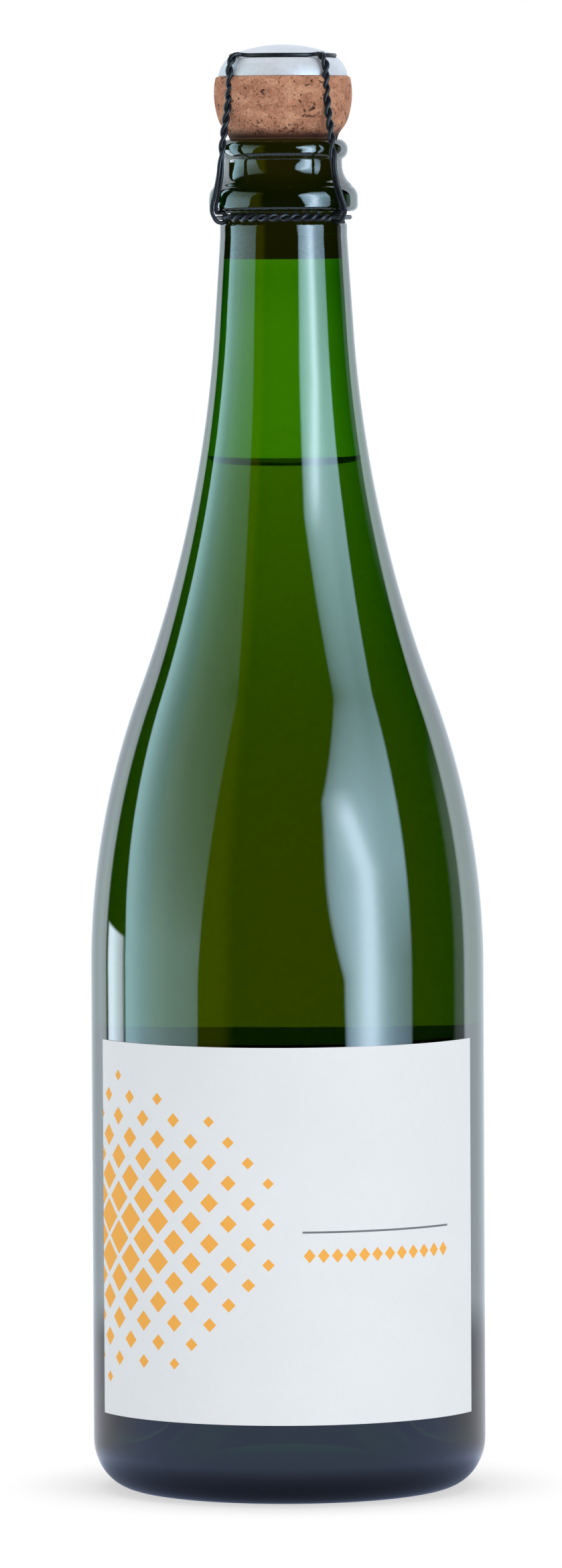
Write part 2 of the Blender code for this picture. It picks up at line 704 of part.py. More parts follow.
def main():
    for old in list(bpy.data.objects):
        bpy.data.objects.remove(old)

    glass = finish("green_glass", (0.05, 0.11, 0.02), 0.05, transmission=1.0, ior=1.52)
    wine = finish("white_wine", (0.75, 0.68, 0.30), 0.02, transmission=1.0, ior=1.34)
    paper = finish("label_paper", (0.80, 0.83, 0.86), 0.75)
    agglomerate = finish("agglomerated_cork", (0.52, 0.32, 0.18), 0.85)
    natural = finish("natural_cork", (0.58, 0.37, 0.21), 0.85)
    tinplate = finish("tinned_steel", (0.72, 0.74, 0.77), 0.3, metallic=0.9)
    wire = finish("black_wire", (0.02, 0.02, 0.025), 0.35, metallic=0.4)

    cork_pull = pivot("cork_pull", (0, 0, LIP))
    muselet_lift = pivot("muselet_lift", (0, 0, CORK_TOP), cork_pull)
    root = around(TWIST_ROOT_RADIUS, TWIST_DEGREES, BELT_HEIGHT)
    loop_fold = pivot("loop_fold", root, muselet_lift)
    loop_turn = pivot("loop_turn", twist_matrix() @ Vector((0, 0, -TWIST_LENGTH)), loop_fold)

    place("glass_bottle", turned_mesh("glass_bottle", glass_outline(), GLASS_SEGMENTS), glass)
    place("wine", turned_mesh("wine", wine_outline(), TURNED_SEGMENTS), wine)
    make_label("front_label", 0, FRONT_LABEL_HALF_DEGREES, FRONT_LABEL_TOP, paper)
    make_label("back_label", 180, BACK_LABEL_HALF_DEGREES, BACK_LABEL_TOP, paper)

    make_cork_body(agglomerate, cork_pull)
    make_cork_disc("cork_disc_lower", CORK_BOTTOM, natural, cork_pull)
    upper = CORK_BOTTOM + CORK_DISC_THICKNESS + SEATING_GAP
    make_cork_disc("cork_disc_upper", upper, natural, cork_pull)

    place("plaque", turned_mesh("plaque", cap_outline(), TURNED_SEGMENTS), tinplate, muselet_lift)
    place("wire_hood", wire_curve("wire_hood", hood_points(), WIRE_DIAMETER, True), wire, muselet_lift)
    splice = (BELT_SPLICE_START_DEGREES, BELT_SPLICE_END_DEGREES)
    strands = {
        "belt_wire_right": belt_strand(TWIST_DEGREES, *splice, 0.0),
        "belt_wire_left": belt_strand(TWIST_DEGREES - 360, *reversed(splice), math.pi),
    }
    for name, points in strands.items():
        place(name, wire_curve(name, points, BELT_WIRE_DIAMETER, False), wire, muselet_lift)
    make_twist(wire, loop_fold)
    make_eye(wire, loop_turn)


main()
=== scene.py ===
import math

import bpy
from mathutils import Matrix, Vector


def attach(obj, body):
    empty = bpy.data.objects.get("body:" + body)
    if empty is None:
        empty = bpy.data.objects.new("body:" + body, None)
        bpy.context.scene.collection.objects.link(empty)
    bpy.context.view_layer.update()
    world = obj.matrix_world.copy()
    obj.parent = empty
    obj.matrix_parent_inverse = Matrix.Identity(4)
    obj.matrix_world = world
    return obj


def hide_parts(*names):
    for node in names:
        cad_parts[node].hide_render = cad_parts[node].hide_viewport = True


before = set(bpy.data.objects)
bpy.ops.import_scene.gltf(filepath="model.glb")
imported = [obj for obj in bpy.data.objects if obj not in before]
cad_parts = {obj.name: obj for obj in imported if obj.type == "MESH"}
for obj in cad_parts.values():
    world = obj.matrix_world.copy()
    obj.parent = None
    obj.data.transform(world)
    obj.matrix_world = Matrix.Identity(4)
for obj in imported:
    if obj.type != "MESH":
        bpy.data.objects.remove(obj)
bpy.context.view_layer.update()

# A corked and wired sparkling wine bottle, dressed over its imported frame.
# Lengths are metres. Angles round the bottle are degrees from the front, -Y, towards +X.

scene = bpy.context.scene


# points and paths

def around(radius, degrees, height):
    # the point at this radius, angle round the bottle and height
    turn = math.radians(degrees)
    return Vector((radius * math.sin(turn), -radius * math.cos(turn), height))


def arcPoints(centre, radii, start, end, steps):
    # (radius, height) points on an ellipse's arc, degrees from +radius
    points = []
    for i in range(steps + 1):
        turn = math.radians(start + (end - start) * i / steps)
        points.append((centre[0] + radii[0] * math.cos(turn), centre[1] + radii[1] * math.sin(turn)))
    return points


def bellPoints(radius, base, height, steps):
    # half of a bell, from its rim to its top on the axis
    points = []
    for i in range(steps + 1):
        share = 1 - i / steps
        points.append((radius * share, base + height * (1 + math.cos(math.pi * share)) / 2))
    return points


def smoothPath(keys, count):
    # count points at equal steps on a smooth curve through the keys
    fine = 30
    keys = [Vector(key) for key in keys]
    ends = [keys[0] * 2 - keys[1]] + keys + [keys[-1] * 2 - keys[-2]]
    dense = []
    for p0, p1, p2, p3 in zip(ends, ends[1:], ends[2:], ends[3:]):
        for i in range(fine):
            t = i / fine
            bend = p0 * 2 - p1 * 5 + p2 * 4 - p3
            swing = p1 * 3 - p0 - p2 * 3 + p3
            dense.append((p1 * 2 + (p2 - p0) * t + bend * t**2 + swing * t**3) / 2)
    dense.append(keys[-1])
    lengths = [0.0]
    for a, b in zip(dense, dense[1:]):
        lengths.append(lengths[-1] + (b - a).length)
    points = []
    place = 0
    for i in range(count):
        wanted = lengths[-1] * i / (count - 1)
        while place < len(dense) - 2 and lengths[place + 1] < wanted:
            place += 1
        share = (wanted - lengths[place]) / (lengths[place + 1] - lengths[place])
        points.append(dense[place].lerp(dense[place + 1], min(share, 1.0)))
    return points


# modelling

def drawLine(name, points):
    # a small plane drawn in to one vertex, which is then pulled along the points
    bpy.ops.mesh.primitive_plane_add(size=0.001, location=points[0])
    piece = bpy.context.object
    piece.name = piece.data.name = name
    bpy.ops.object.transform_apply(location=True, rotation=False, scale=False)
    bpy.ops.object.mode_set(mode="EDIT")
    bpy.ops.mesh.select_all(action="SELECT")
    bpy.ops.mesh.merge(type="CENTER")
    for a, b in zip(points, points[1:]):
        bpy.ops.mesh.extrude_vertices_move(TRANSFORM_OT_translate={"value": tuple(b - a)})
    bpy.ops.object.mode_set(mode="OBJECT")
    return piece


def weld(threshold):
    # out of edit mode, with doubled points merged and the faces turned outwards
    bpy.ops.mesh.select_all(action="SELECT")
    bpy.ops.mesh.remove_doubles(threshold=threshold)
    bpy.ops.mesh.normals_make_consistent(inside=False)
    bpy.ops.object.mode_set(mode="OBJECT")


def spinLine(steps, angle, threshold):
    # the line just drawn, spun round the bottle's axis
    bpy.ops.object.mode_set(mode="EDIT")
    bpy.ops.mesh.select_all(action="SELECT")
    bpy.ops.mesh.spin(steps=steps, angle=angle, center=(0, 0, 0), axis=(0, 0, 1))
    weld(threshold)


def turned(name, outline, segments, rounding=0.0):
    # an outline that starts and ends on the axis, spun to a closed solid
    piece = drawLine(name, [Vector((radius, 0, height)) for radius, height in outline])
    spinLine(segments, math.tau, 2e-6)
    if rounding:
        edges = {"limit_method": "ANGLE", "angle_limit": math.radians(24)}
        addModifier(piece, "BEVEL", width=rounding, segments=3, **edges)
    smoothShade(piece)
    return piece


def selectOnly(piece):
    bpy.ops.object.select_all(action="DESELECT")
    piece.select_set(True)
    bpy.context.view_layer.objects.active = piece


def addModifier(piece, kind, **settings):
    selectOnly(piece)
    modifier = piece.modifiers.new(kind.lower(), kind)
    for setting, value in settings.items():
        setattr(modifier, setting, value)
    bpy.ops.object.modifier_apply(modifier=modifier.name)


def smoothShade(piece, degrees=35):
    selectOnly(piece)
    bpy.ops.object.shade_smooth_by_angle(angle=math.radians(degrees))


def drawWire(name, points, diameter, closed=False):
    # the line becomes a curve with a round bevel, and a mesh again
    piece = drawLine(name, points)
    if closed:
        piece.data.vertices[0].select = True  # the last one still is
        bpy.ops.object.mode_set(mode="EDIT")
        bpy.ops.mesh.edge_face_add()
        bpy.ops.object.mode_set(mode="OBJECT")
    bpy.ops.object.convert(target="CURVE")
    piece = bpy.context.object
    piece.data.bevel_depth = diameter / 2
    piece.data.bevel_resolution = 4
    piece.data.use_fill_caps = True
    bpy.ops.object.convert(target="MESH")
    piece = bpy.context.object
    bpy.ops.object.mode_set(mode="EDIT")
    weld(1e-6)
    piece.name = piece.data.name = name
    smoothShade(piece, 60)
    return piece


def joined(name, pieces):
    selectOnly(pieces[0])
    for piece in pieces[1:]:
        piece.select_set(True)
    bpy.ops.object.join()
    whole = bpy.context.object
    whole.name = whole.data.name = name
    return whole


def dress(piece, material, body, slot, *nodes):
    # the piece's finish, the body it rides on and the CAD nodes it stands for
    piece.data.materials.clear()
    piece.data.materials.append(material)
    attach(piece, body)
    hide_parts(*nodes)
    print("made", piece.name, len(piece.data.polygons), "faces")


# materials

def setInputs(node, values):
    # a socket is linked and a plain value is set; a colour gets its alpha here
    for socket, value in values.items():
        entry = node.inputs[socket]
        if isinstance(value, bpy.types.NodeSocket):
            node.id_data.links.new(value, entry)
        else:
            entry.default_value = (*value, 1) if entry.type == "RGBA" else value


def addNode(tree, kind, inputs=None, **settings):
    node = tree.nodes.new("ShaderNode" + kind)
    for setting, value in settings.items():
        setattr(node, setting, value)
    setInputs(node, inputs or {})
    return node


def newMaterial(name, **sockets):
    # a Principled material with plain values on its sockets, and the object's coordinates
    material = bpy.data.materials.new(name)
    material.use_nodes = True
    shader = material.node_tree.nodes["Principled BSDF"]
    setInputs(shader, {socket.replace("_", " "): value for socket, value in sockets.items()})
    return material, shader, addNode(material.node_tree, "TexCoord").outputs["Object"]


def clearedTree(owner):
    owner.use_nodes = True
    owner.node_tree.nodes.clear()
    return owner.node_tree


def treeOf(*values):
    # the node tree that the first socket among the values is in
    return next(value.id_data for value in values if isinstance(value, bpy.types.NodeSocket))


def reckon(operation, *values):
    # a Math node's result
    return addNode(treeOf(*values), "Math", dict(enumerate(values)), operation=operation).outputs[0]


def times(first, *others):
    for other in others:
        first = reckon("MULTIPLY", first, other)
    return first


def plus(first, second):
    return reckon("ADD", first, second)


def minus(first, second):
    return reckon("SUBTRACT", first, second)


def over(first, second):
    return reckon("DIVIDE", first, second)


def positive(value):
    # the value, or 0 where it is negative
    return reckon("MAXIMUM", value, 0.0)


def awayFrom(value, middle):
    # how far the value is from the middle, either way
    return reckon("ABSOLUTE", minus(value, middle))


def sloped(value, start, slope):
    return reckon("MULTIPLY_ADD", value, slope, start)


def mapRange(value, low, high, first=0.0, last=1.0, smooth=True):
    # first where the value is low, last where it is high
    limits = {"Value": value, 1: low, 2: high, 3: first, 4: last}
    kind = "SMOOTHSTEP" if smooth else "LINEAR"
    return addNode(value.id_data, "MapRange", limits, interpolation_type=kind).outputs[0]


def axesOf(place):
    return addNode(place.id_data, "SeparateXYZ", {0: place}).outputs


def ramp(value, stops):
    # a Color Ramp from (position, colour) stops; a number stands for a grey
    node = addNode(value.id_data, "ValToRGB", {"Fac": value})
    elements = node.color_ramp.elements
    elements[0].position, elements[1].position = stops[0][0], stops[-1][0]
    for position, colour in stops[1:-1]:
        elements.new(position)
    for element, (position, colour) in zip(elements, stops):
        element.color = (*colour, 1) if isinstance(colour, tuple) else (colour, colour, colour, 1)
    return node.outputs["Color"]


def blendColours(share, first, second, kind="MIX"):
    tree, values = treeOf(share, first, second), {0: share, 6: first, 7: second}
    return addNode(tree, "Mix", values, data_type="RGBA", blend_type=kind).outputs[2]


def mixShaders(share, first, second):
    return addNode(share.id_data, "MixShader", {0: share, 1: first, 2: second}).outputs[0]


def noise(place, scale, detail, roughness=0.5, distortion=0.0):
    values = {"Vector": place, "Scale": scale, "Detail": detail, "Roughness": roughness}
    return addNode(place.id_data, "TexNoise", {**values, "Distortion": distortion}).outputs["Fac"]


def addBump(shader, height, distance, strength):
    bump = addNode(shader.id_data, "Bump", {"Height": height, "Distance": distance, "Strength": strength})
    setInputs(shader, {"Normal": bump.outputs["Normal"]})


def clearFinish(name, values):
    # rippled and clear, with a colour that comes from its depth
    material, shader, place = newMaterial(
        name, Transmission_Weight=1.0, IOR=values["ior"], Roughness=0.0, Base_Color=(1, 1, 1),
    )
    addBump(shader, noise(place, *values["ripples"]), *values["relief"])
    tree = material.node_tree
    body = addNode(tree, "VolumeAbsorption", {"Color": values["tint"], "Density": values["density"]})
    setInputs(tree.nodes["Material Output"], {"Volume": body.outputs[0]})
    return material


def mottledFinish(name, values, printing=None):
    # a fine and a coarse mottle, the fine one in the relief too, and what is printed over them
    gloss = {"Metallic": values["metallic"], "Specular_IOR_Level": values["specular"]}
    material, shader, place = newMaterial(name, **gloss)
    fine = noise(place, *values["fine"])
    both = reckon("MULTIPLY_ADD", fine, 0.5, times(noise(place, *values["coarse"]), 0.5))
    low, high = values["mottleSpan"]
    deep = tuple(c * values["mottle"] for c in values["pale"])
    colour = ramp(both, [(low, deep), (high, values["pale"])])
    setInputs(shader, {
        "Base Color": printing(place, colour) if printing else colour,
        "Roughness": mapRange(fine, 0.0, 1.0, *values["roughness"], smooth=False),
    })
    addBump(shader, fine, *values["relief"])
    return material


# the glass

bottle = {
    "segments": 160,
    "wallSteps": (44, 54),  # inside and outside, on each of the shoulder's arcs
    "floorSteps": 10,
    "heelSteps": 14,
    "puntSteps": 20,
    "height": 0.3020,
    "bodyRadius": 0.0440,
    "wall": 0.0055,
    "baseRadius": 0.0341,
    "baseRing": 0.0026,
    "heel": 0.0112,
    "punt": 0.0290,
    "puntWall": 0.0080,
    "floorHeight": 0.0078,
    "floorRadius": 0.0305,
    "innerHeel": 0.0090,
    "shoulderHeight": 0.1165,
    "shoulderRadius": 0.1790,
    "sweepRadius": 0.2870,
    "neckFootRadius": 0.01554,
    "neckTaper": 3.77,
    "neckRadius": 0.0142,
    "boreRadius": 0.0089,
    "boreLength": 0.0310,
    "rounding": 0.0004,
    "tint": (0.565, 0.7745, 0.0),  # each metre lets exp(-density * (1 - tint)) of the light through
    "density": 674.0,
    "ior": 1.52,
    "ripples": (26.0, 1.0),
    "relief": (0.0004, 0.35),
}

mouth = {
    "lipRadius": 0.0123,
    "lipEdge": 0.0012,
    "beadRadius": 0.0144,
    "beadHalfHeight": 0.0023,
    "beadEnd": -68.0,
    "beadSteps": 14,
    "grooveRadius": 0.01315,
    "grooveDepth": 0.0058,
    "grooveFillet": 0.0055,
    "grooveEnd": 230.0,
    "ringRadius": 0.0166,
    "crownRadius": 0.0023,
    "crownHeight": 0.0029,
    "crownStart": 62.0,
    "ringDepth": 0.0131,
    "ringBand": 0.0016,
    "ringEdge": 0.0014,
    "edgeEnd": -80.0,
    "steps": 8,
    "seatRadius": 0.0137,
    "seatLength": 0.0022,
    "seatFlare": 0.0007,
    "neckStraight": 0.0028,
}

ringTop = bottle["height"] - mouth["ringDepth"]
ringBottom = ringTop - mouth["ringBand"] - mouth["ringEdge"]


def shoulderPoints(inset, steps, top=None):
    # the sweep from the neck's foot, or the height top, down to the body, moved in by inset
    taper = math.radians(bottle["neckTaper"])
    sweep, shoulder = bottle["sweepRadius"], bottle["shoulderRadius"]
    both = sweep + shoulder
    narrowing = bottle["bodyRadius"] - bottle["neckFootRadius"]
    steepest = math.acos((shoulder + sweep * math.cos(taper) - narrowing) / both)
    centre = (bottle["bodyRadius"] - shoulder, bottle["shoulderHeight"])
    sweepCentre = (centre[0] + both * math.cos(steepest), centre[1] + both * math.sin(steepest))
    outer, inner = sweep + inset, shoulder - inset
    start = taper if top is None else math.asin((sweepCentre[1] - top) / outer)
    turn = math.degrees(steepest)
    upper = arcPoints(sweepCentre, (outer, outer), 180 + math.degrees(start), 180 + turn, steps)
    return upper + arcPoints(centre, (inner, inner), turn, 0, steps)[1:]


def floorPoints(inset):
    # the cavity's foot, from the wall over the floor to the top of the punt
    steps = bottle["floorSteps"]
    across = bottle["bodyRadius"] - bottle["wall"] - bottle["floorRadius"] - inset
    heelCentre = (bottle["floorRadius"], bottle["floorHeight"] + bottle["innerHeel"])
    heel = arcPoints(heelCentre, (across, bottle["innerHeel"] - inset), 0, -90, steps)
    rise = bottle["punt"] + bottle["puntWall"] - bottle["floorHeight"]
    top = bellPoints(bottle["floorRadius"], bottle["floorHeight"] + inset, rise + inset, steps * 2)
    return heel + top[1:]


def mouthPoints():
    # bead, groove, wire ring, seat and straight neck, from the lip down
    m, lip = mouth, bottle["height"]
    bead = arcPoints(
        (m["lipRadius"], lip - m["beadHalfHeight"]),
        (m["beadRadius"] - m["lipRadius"], m["beadHalfHeight"]),
        90, m["beadEnd"], m["beadSteps"],
    )
    fillet, steps = m["grooveFillet"], m["steps"]
    groove = arcPoints(
        (m["grooveRadius"] + fillet, lip - m["grooveDepth"]), (fillet, fillet), 180, m["grooveEnd"], steps,
    )
    crown = arcPoints(
        (m["ringRadius"] - m["crownRadius"], ringTop), (m["crownRadius"], m["crownHeight"]),
        m["crownStart"], 0, steps,
    )
    edge = arcPoints(
        (m["ringRadius"] - m["ringEdge"], ringTop - m["ringBand"]), (m["ringEdge"], m["ringEdge"]),
        0, m["edgeEnd"], steps,
    )
    seatBottom = ringBottom - m["seatLength"]
    neckTop = seatBottom - m["seatFlare"]
    return bead + groove + crown + edge + [
        (m["seatRadius"], ringBottom),
        (m["seatRadius"], seatBottom),
        (bottle["neckRadius"], neckTop),
        (bottle["neckRadius"], neckTop - m["neckStraight"]),
    ]


def glassOutline():
    lip = bottle["height"]
    insideSteps, outsideSteps = bottle["wallSteps"]
    inside = (shoulderPoints(bottle["wall"], insideSteps) + floorPoints(0))[::-1]
    bore = bottle["boreRadius"]
    edge = mouth["lipEdge"]
    overEdge = arcPoints((bore + edge, lip - edge), (edge, edge), 180, 90, 6)
    base = bottle["baseRadius"]
    radii = (bottle["bodyRadius"] - base, bottle["heel"])
    heel = arcPoints((base, bottle["heel"]), radii, 0, -90, bottle["heelSteps"])
    punt = bellPoints(base - bottle["baseRing"], 0, bottle["punt"], bottle["puntSteps"])
    outside = mouthPoints() + shoulderPoints(0, outsideSteps) + heel + punt
    return inside + [(bore, lip - bottle["boreLength"])] + overEdge + outside


glassBottle = turned("glassBottle", glassOutline(), bottle["segments"], bottle["rounding"])
dress(glassBottle, clearFinish("greenGlass", bottle), "bottle", "green_glass", "glass_bottle")


# the wine

wineFill = {
    "segments": 144,
    "level": 0.2288,
    "creep": 0.0020,  # how far the meniscus climbs the wall
    "creepReach": 0.0040,
    "creepBend": 4.5,
    "creepSteps": 10,
    "wetting": 0.00005,  # it laps into the glass, so that no air shows between them
    "tint": (0.898, 0.580, 0.0),
    "density": 44.0,
    "ior": 1.34,
    "ripples": (60.0, 0.0),
    "relief": (0.0001, 0.2),
}


def wineOutline():
    inset = bottle["wall"] - wineFill["wetting"]
    wall = shoulderPoints(inset, bottle["wallSteps"][0], wineFill["level"] + wineFill["creep"])
    edge = wall[0][0]
    surface = [(0, wineFill["level"])]
    bend = wineFill["creepBend"]
    flat = math.exp(-bend)
    for i in range(wineFill["creepSteps"]):
        share = i / wineFill["creepSteps"]
        climb = wineFill["creep"] * (math.exp(-bend * (1 - share)) - flat) / (1 - flat)
        surface.append((edge - wineFill["creepReach"] * (1 - share), wineFill["level"] + climb))
    return surface + wall + floorPoints(-wineFill["wetting"])


wine = turned("wineFill", wineOutline(), wineFill["segments"])
dress(wine, clearFinish("whiteWine", wineFill), "bottle", "white_wine", "wine")


# the labels

labels = {
    "gap": 0.00006,
    "thickness": 0.00016,
    "bottom": 0.0185,
    "frontTop": 0.1020,
    "frontMiddle": -1.2,
    "frontHalf": 67.7,
    "backTop": 0.1017,
    "backHalf": 62.0,
    "steps": 120,
    "metallic": 0.0,
    "specular": 0.25,
    "roughness": (0.7, 0.7),
    "pale": (0.80, 0.83, 0.86),
    "fine": (900.0, 4.0, 0.6),
    "coarse": (60.0, 2.0),
    "mottle": 0.965,
    "mottleSpan": (0.3, 0.7),
    "relief": (0.00003, 0.5),
    "orange": (0.92, 0.445, 0.085),
    "grey": (0.16, 0.17, 0.19),
    "pitch": 0.0090,
    "lozenge": (0.43, 0.14),  # half width in pitches, in the field's middle and at its end
    "fieldCentre": (-0.0533, 0.0605),
    "fieldReach": (0.0520, 0.0345),
    "fieldMiddle": 0.15,  # up to this share of the reach the lozenges stay alike
    "ruleSpan": (0.0030, 0.0405),
    "ruleHeight": 0.0612,
    "ruleHalf": 0.00022,
    "rowHeight": 0.0560,
    "rowHalf": 0.0019,
    "rowPitch": 0.003125,
    "rowLozenge": 0.42,
}


def bentSheet(name, middle, half, top):
    radius = bottle["bodyRadius"] + labels["gap"]
    piece = drawLine(name, [around(radius, middle - half, height) for height in (labels["bottom"], top)])
    spinLine(labels["steps"], -math.radians(2 * half), 1e-7)
    addModifier(piece, "SOLIDIFY", thickness=labels["thickness"], offset=1.0)
    smoothShade(piece)
    return piece


def insideBox(value, middle, half):
    # 1 where the value is within half of the middle
    return reckon("LESS_THAN", awayFrom(value, middle), half)


def printed(place, paper):
    # a field of lozenges that fades out from the left edge, and a ruled line over a row of small ones
    axes = axesOf(place)
    along = times(reckon("ARCTAN2", axes[0], times(axes[1], -1.0)), bottle["bodyRadius"])
    height = axes[2]

    pitch = labels["pitch"]
    slants = (over(plus(along, height), pitch), over(minus(along, height), pitch))
    cells = [plus(reckon("FLOOR", slant), 0.5) for slant in slants]
    lozenge = reckon("MAXIMUM", *[awayFrom(slant, cell) for slant, cell in zip(slants, cells)])
    centres = (times(plus(*cells), pitch / 2), times(minus(*cells), pitch / 2))
    squares = []
    for centre, middle, reach in zip(centres, labels["fieldCentre"], labels["fieldReach"]):
        share = over(minus(centre, middle), reach)
        squares.append(times(share, share))
    distance = reckon("SQRT", plus(*squares))
    size = mapRange(distance, labels["fieldMiddle"], 1.0, *labels["lozenge"], smooth=False)
    field = times(reckon("LESS_THAN", lozenge, size), reckon("LESS_THAN", distance, 1.0))

    start, end = labels["ruleSpan"]
    onSpan = insideBox(along, (start + end) / 2, (end - start) / 2)
    rule = times(onSpan, insideBox(height, labels["ruleHeight"], labels["ruleHalf"]))
    sideways = awayFrom(reckon("FRACT", over(minus(along, start), labels["rowPitch"])), 0.5)
    upwards = over(awayFrom(height, labels["rowHeight"]), labels["rowHalf"] * 2)
    row = times(onSpan, reckon("LESS_THAN", plus(sideways, upwards), labels["rowLozenge"]))

    inked = blendColours(reckon("MAXIMUM", field, row), paper, labels["orange"])
    return blendColours(rule, inked, labels["grey"])


frontLabel = bentSheet("frontLabel", labels["frontMiddle"], labels["frontHalf"], labels["frontTop"])
dress(frontLabel, mottledFinish("printedPaper", labels, printed), "bottle", "label_paper", "front_label")
backLabel = bentSheet("backLabel", 180, labels["backHalf"], labels["backTop"])
dress(backLabel, mottledFinish("plainPaper", labels), "bottle", "label_paper", "back_label")


# the cork

cork = {
    "segments": 144,
    "gap": 0.0003,
    "depth": 0.0272,
    "footRise": 0.0004,  # the lower disc's worn foot
    "seatLift": 0.00003,
    "shankRadius": 0.00893,  # the squeezed cork laps into the bore, so that no air shows between them
    "discSegments": 96,
    "discThickness": 0.0058,
    "glueLine": 0.00002,
    "footRadius": 0.0119,
    "bulgeRadius": 0.01543,
    "bulgeHeight": 0.0098,
    # the head's side from under the cap down, as shares of the bulge's height and of its spread
    "belly": (
        (1.385, 0.86), (1.35, 0.905), (1.2, 0.972), (1.0, 1.0), (0.84, 0.975),
        (0.68, 0.91), (0.46, 0.76), (0.3, 0.56), (0.12, 0.2),
    ),
    "bellyPoints": 34,
    "headHeight": 0.0173,
    "shoulderRadius": 0.0146,
    "crownRadius": 0.0114,
    "bite": 0.0010,
    "biteWidth": 0.0018,
    "biteShare": 0.28,  # of its width, that is pressed in whole
    "biteFoot": 0.0020,
    "rounding": 0.0002,
    "light": (0.54, 0.29, 0.185),
    "middle": (0.435, 0.208, 0.128),
    "dark": (0.31, 0.140, 0.085),
    "creviceAndShade": (0.05, 0.018, 0.012),
    "tones": (0.32, 0.48, 0.64),
    "grains": (430.0, 1.25),
    "naturalGrains": (520.0, 3.2),
    "clouds": (210.0, 5.0, 0.65, 0.6),
    "cloudShare": 0.80,
    "specks": (2600.0, 3.0, 0.7),
    "speckStops": ((0.35, 0.25), (0.62, 0.85)),
    "speckShare": 0.4,
    "speckRelief": 0.35,
    "dots": (1500.0, 2.0, 0.6),
    "dotStops": ((0.60, 0.0), (0.68, 0.75)),
    "dotsInShade": 0.10,
    "holes": (330.0, 3.0, 0.6),
    "holeStops": ((0.56, 0.0), (0.62, 1.0)),
    "edgeStops": ((0.03, 1.0), (0.12, 0.0)),
    "relief": (0.0003, 0.7),
    "shade": (0.3065, 0.3025),  # painted shade: it darkens down to the lip, and is pale again below
    "shadeFoot": (0.2985, 0.3012),
    "paintedBoreGlow": (0.040, 0.021, 0.012),  # a painted glow below the lip, for the light it gets through the glass
}

cap = {
    "segments": 144,
    "radius": 0.0142,
    "wall": 0.0004,
    "shoulder": 0.0028,
    "skirt": 0.0010,
    # the shoulder from the ledge down to the skirt's edge, (radius, height over the edge)
    "skirtKeys": (
        (0.0114, 0.00415), (0.0122, 0.0040), (0.0129, 0.00345), (0.01355, 0.00255),
        (0.01402, 0.0016), (0.01432, 0.0007), (0.01445, 0.0),
    ),
    "skirtPoints": 20,
    "skirtDrop": 0.0005,
    "domeRadius": 0.0109,
    "domeStep": 0.0008,
    "domeRise": 0.0020,
    "domeSteps": 14,
    "rounding": 0.00015,
    "metallic": 0.15,
    "specular": 0.4,
    "pale": (0.66, 0.70, 0.77),
    "fine": (900.0, 4.0, 0.65),
    "coarse": (120.0, 2.0),
    "mottle": 0.82,
    "mottleSpan": (0.32, 0.62),
    "roughness": (0.42, 0.6),
    "relief": (0.00005, 0.4),
}

gap = cork["gap"]
lipHeight = bottle["height"]
corkBottom = lipHeight - cork["depth"]
corkSeat = lipHeight + gap
corkTop = corkSeat + cork["headHeight"]
capLedge = corkTop + gap + cap["wall"]
capCorner = (cap["radius"] - cap["shoulder"], capLedge - cap["shoulder"])
capEdge = capCorner[1] - cap["skirt"] - cap["skirtDrop"]


def corkOutline():
    underCap = cap["radius"] - cap["wall"] - gap
    radii = (underCap - cork["crownRadius"], corkTop - capCorner[1])
    crown = arcPoints((cork["crownRadius"], capCorner[1]), radii, 90, 0, 10)
    underEdge = capEdge - cork["seatLift"]
    shoulder = [(underCap, underEdge), (cork["shoulderRadius"], underEdge)]
    spread = cork["bulgeRadius"] - cork["footRadius"]
    keys = [(cork["shoulderRadius"], underEdge)]
    for heightShare, spreadShare in cork["belly"]:
        height = corkSeat + cork["bulgeHeight"] * heightShare
        keys.append((cork["footRadius"] + spread * spreadShare, height))
    seat = lipHeight + cork["seatLift"]
    keys.append((cork["footRadius"], seat))
    belly = [tuple(key) for key in smoothPath(keys, cork["bellyPoints"])[1:]]
    aboveDiscs = corkBottom + 2 * (cork["discThickness"] + gap) - gap / 2
    foot = [(cork["shankRadius"], seat), (cork["shankRadius"], aboveDiscs), (0, aboveDiscs)]
    return [(0, corkTop)] + crown + shoulder + belly + foot


def pressLegs(piece):
    # the four legs of the wire hood press a groove each into the cork's head
    for leg in range(hood["legs"]):
        way = around(1, legAngle(leg, corkSeat + cork["bulgeHeight"]), 0)
        selectOnly(piece)
        for vertex in piece.data.vertices:
            flat = vertex.co.to_2d()
            groove = around(1, legAngle(leg, vertex.co.z), 0).to_2d()
            away = math.inf if flat.length == 0 else flat.angle(groove) * cork["bulgeRadius"]
            nearby = away < cork["biteWidth"] * cork["biteShare"] and flat.length > cork["footRadius"]
            vertex.select = nearby and vertex.co.z > corkSeat + cork["biteFoot"]
        bpy.ops.object.mode_set(mode="EDIT")
        bpy.ops.mesh.select_mode(type="VERT")
        bpy.ops.transform.translate(
            value=tuple(-way * cork["bite"]), use_proportional_edit=True,
            proportional_edit_falloff="SMOOTH", proportional_size=cork["biteWidth"],
        )
        bpy.ops.object.mode_set(mode="OBJECT")


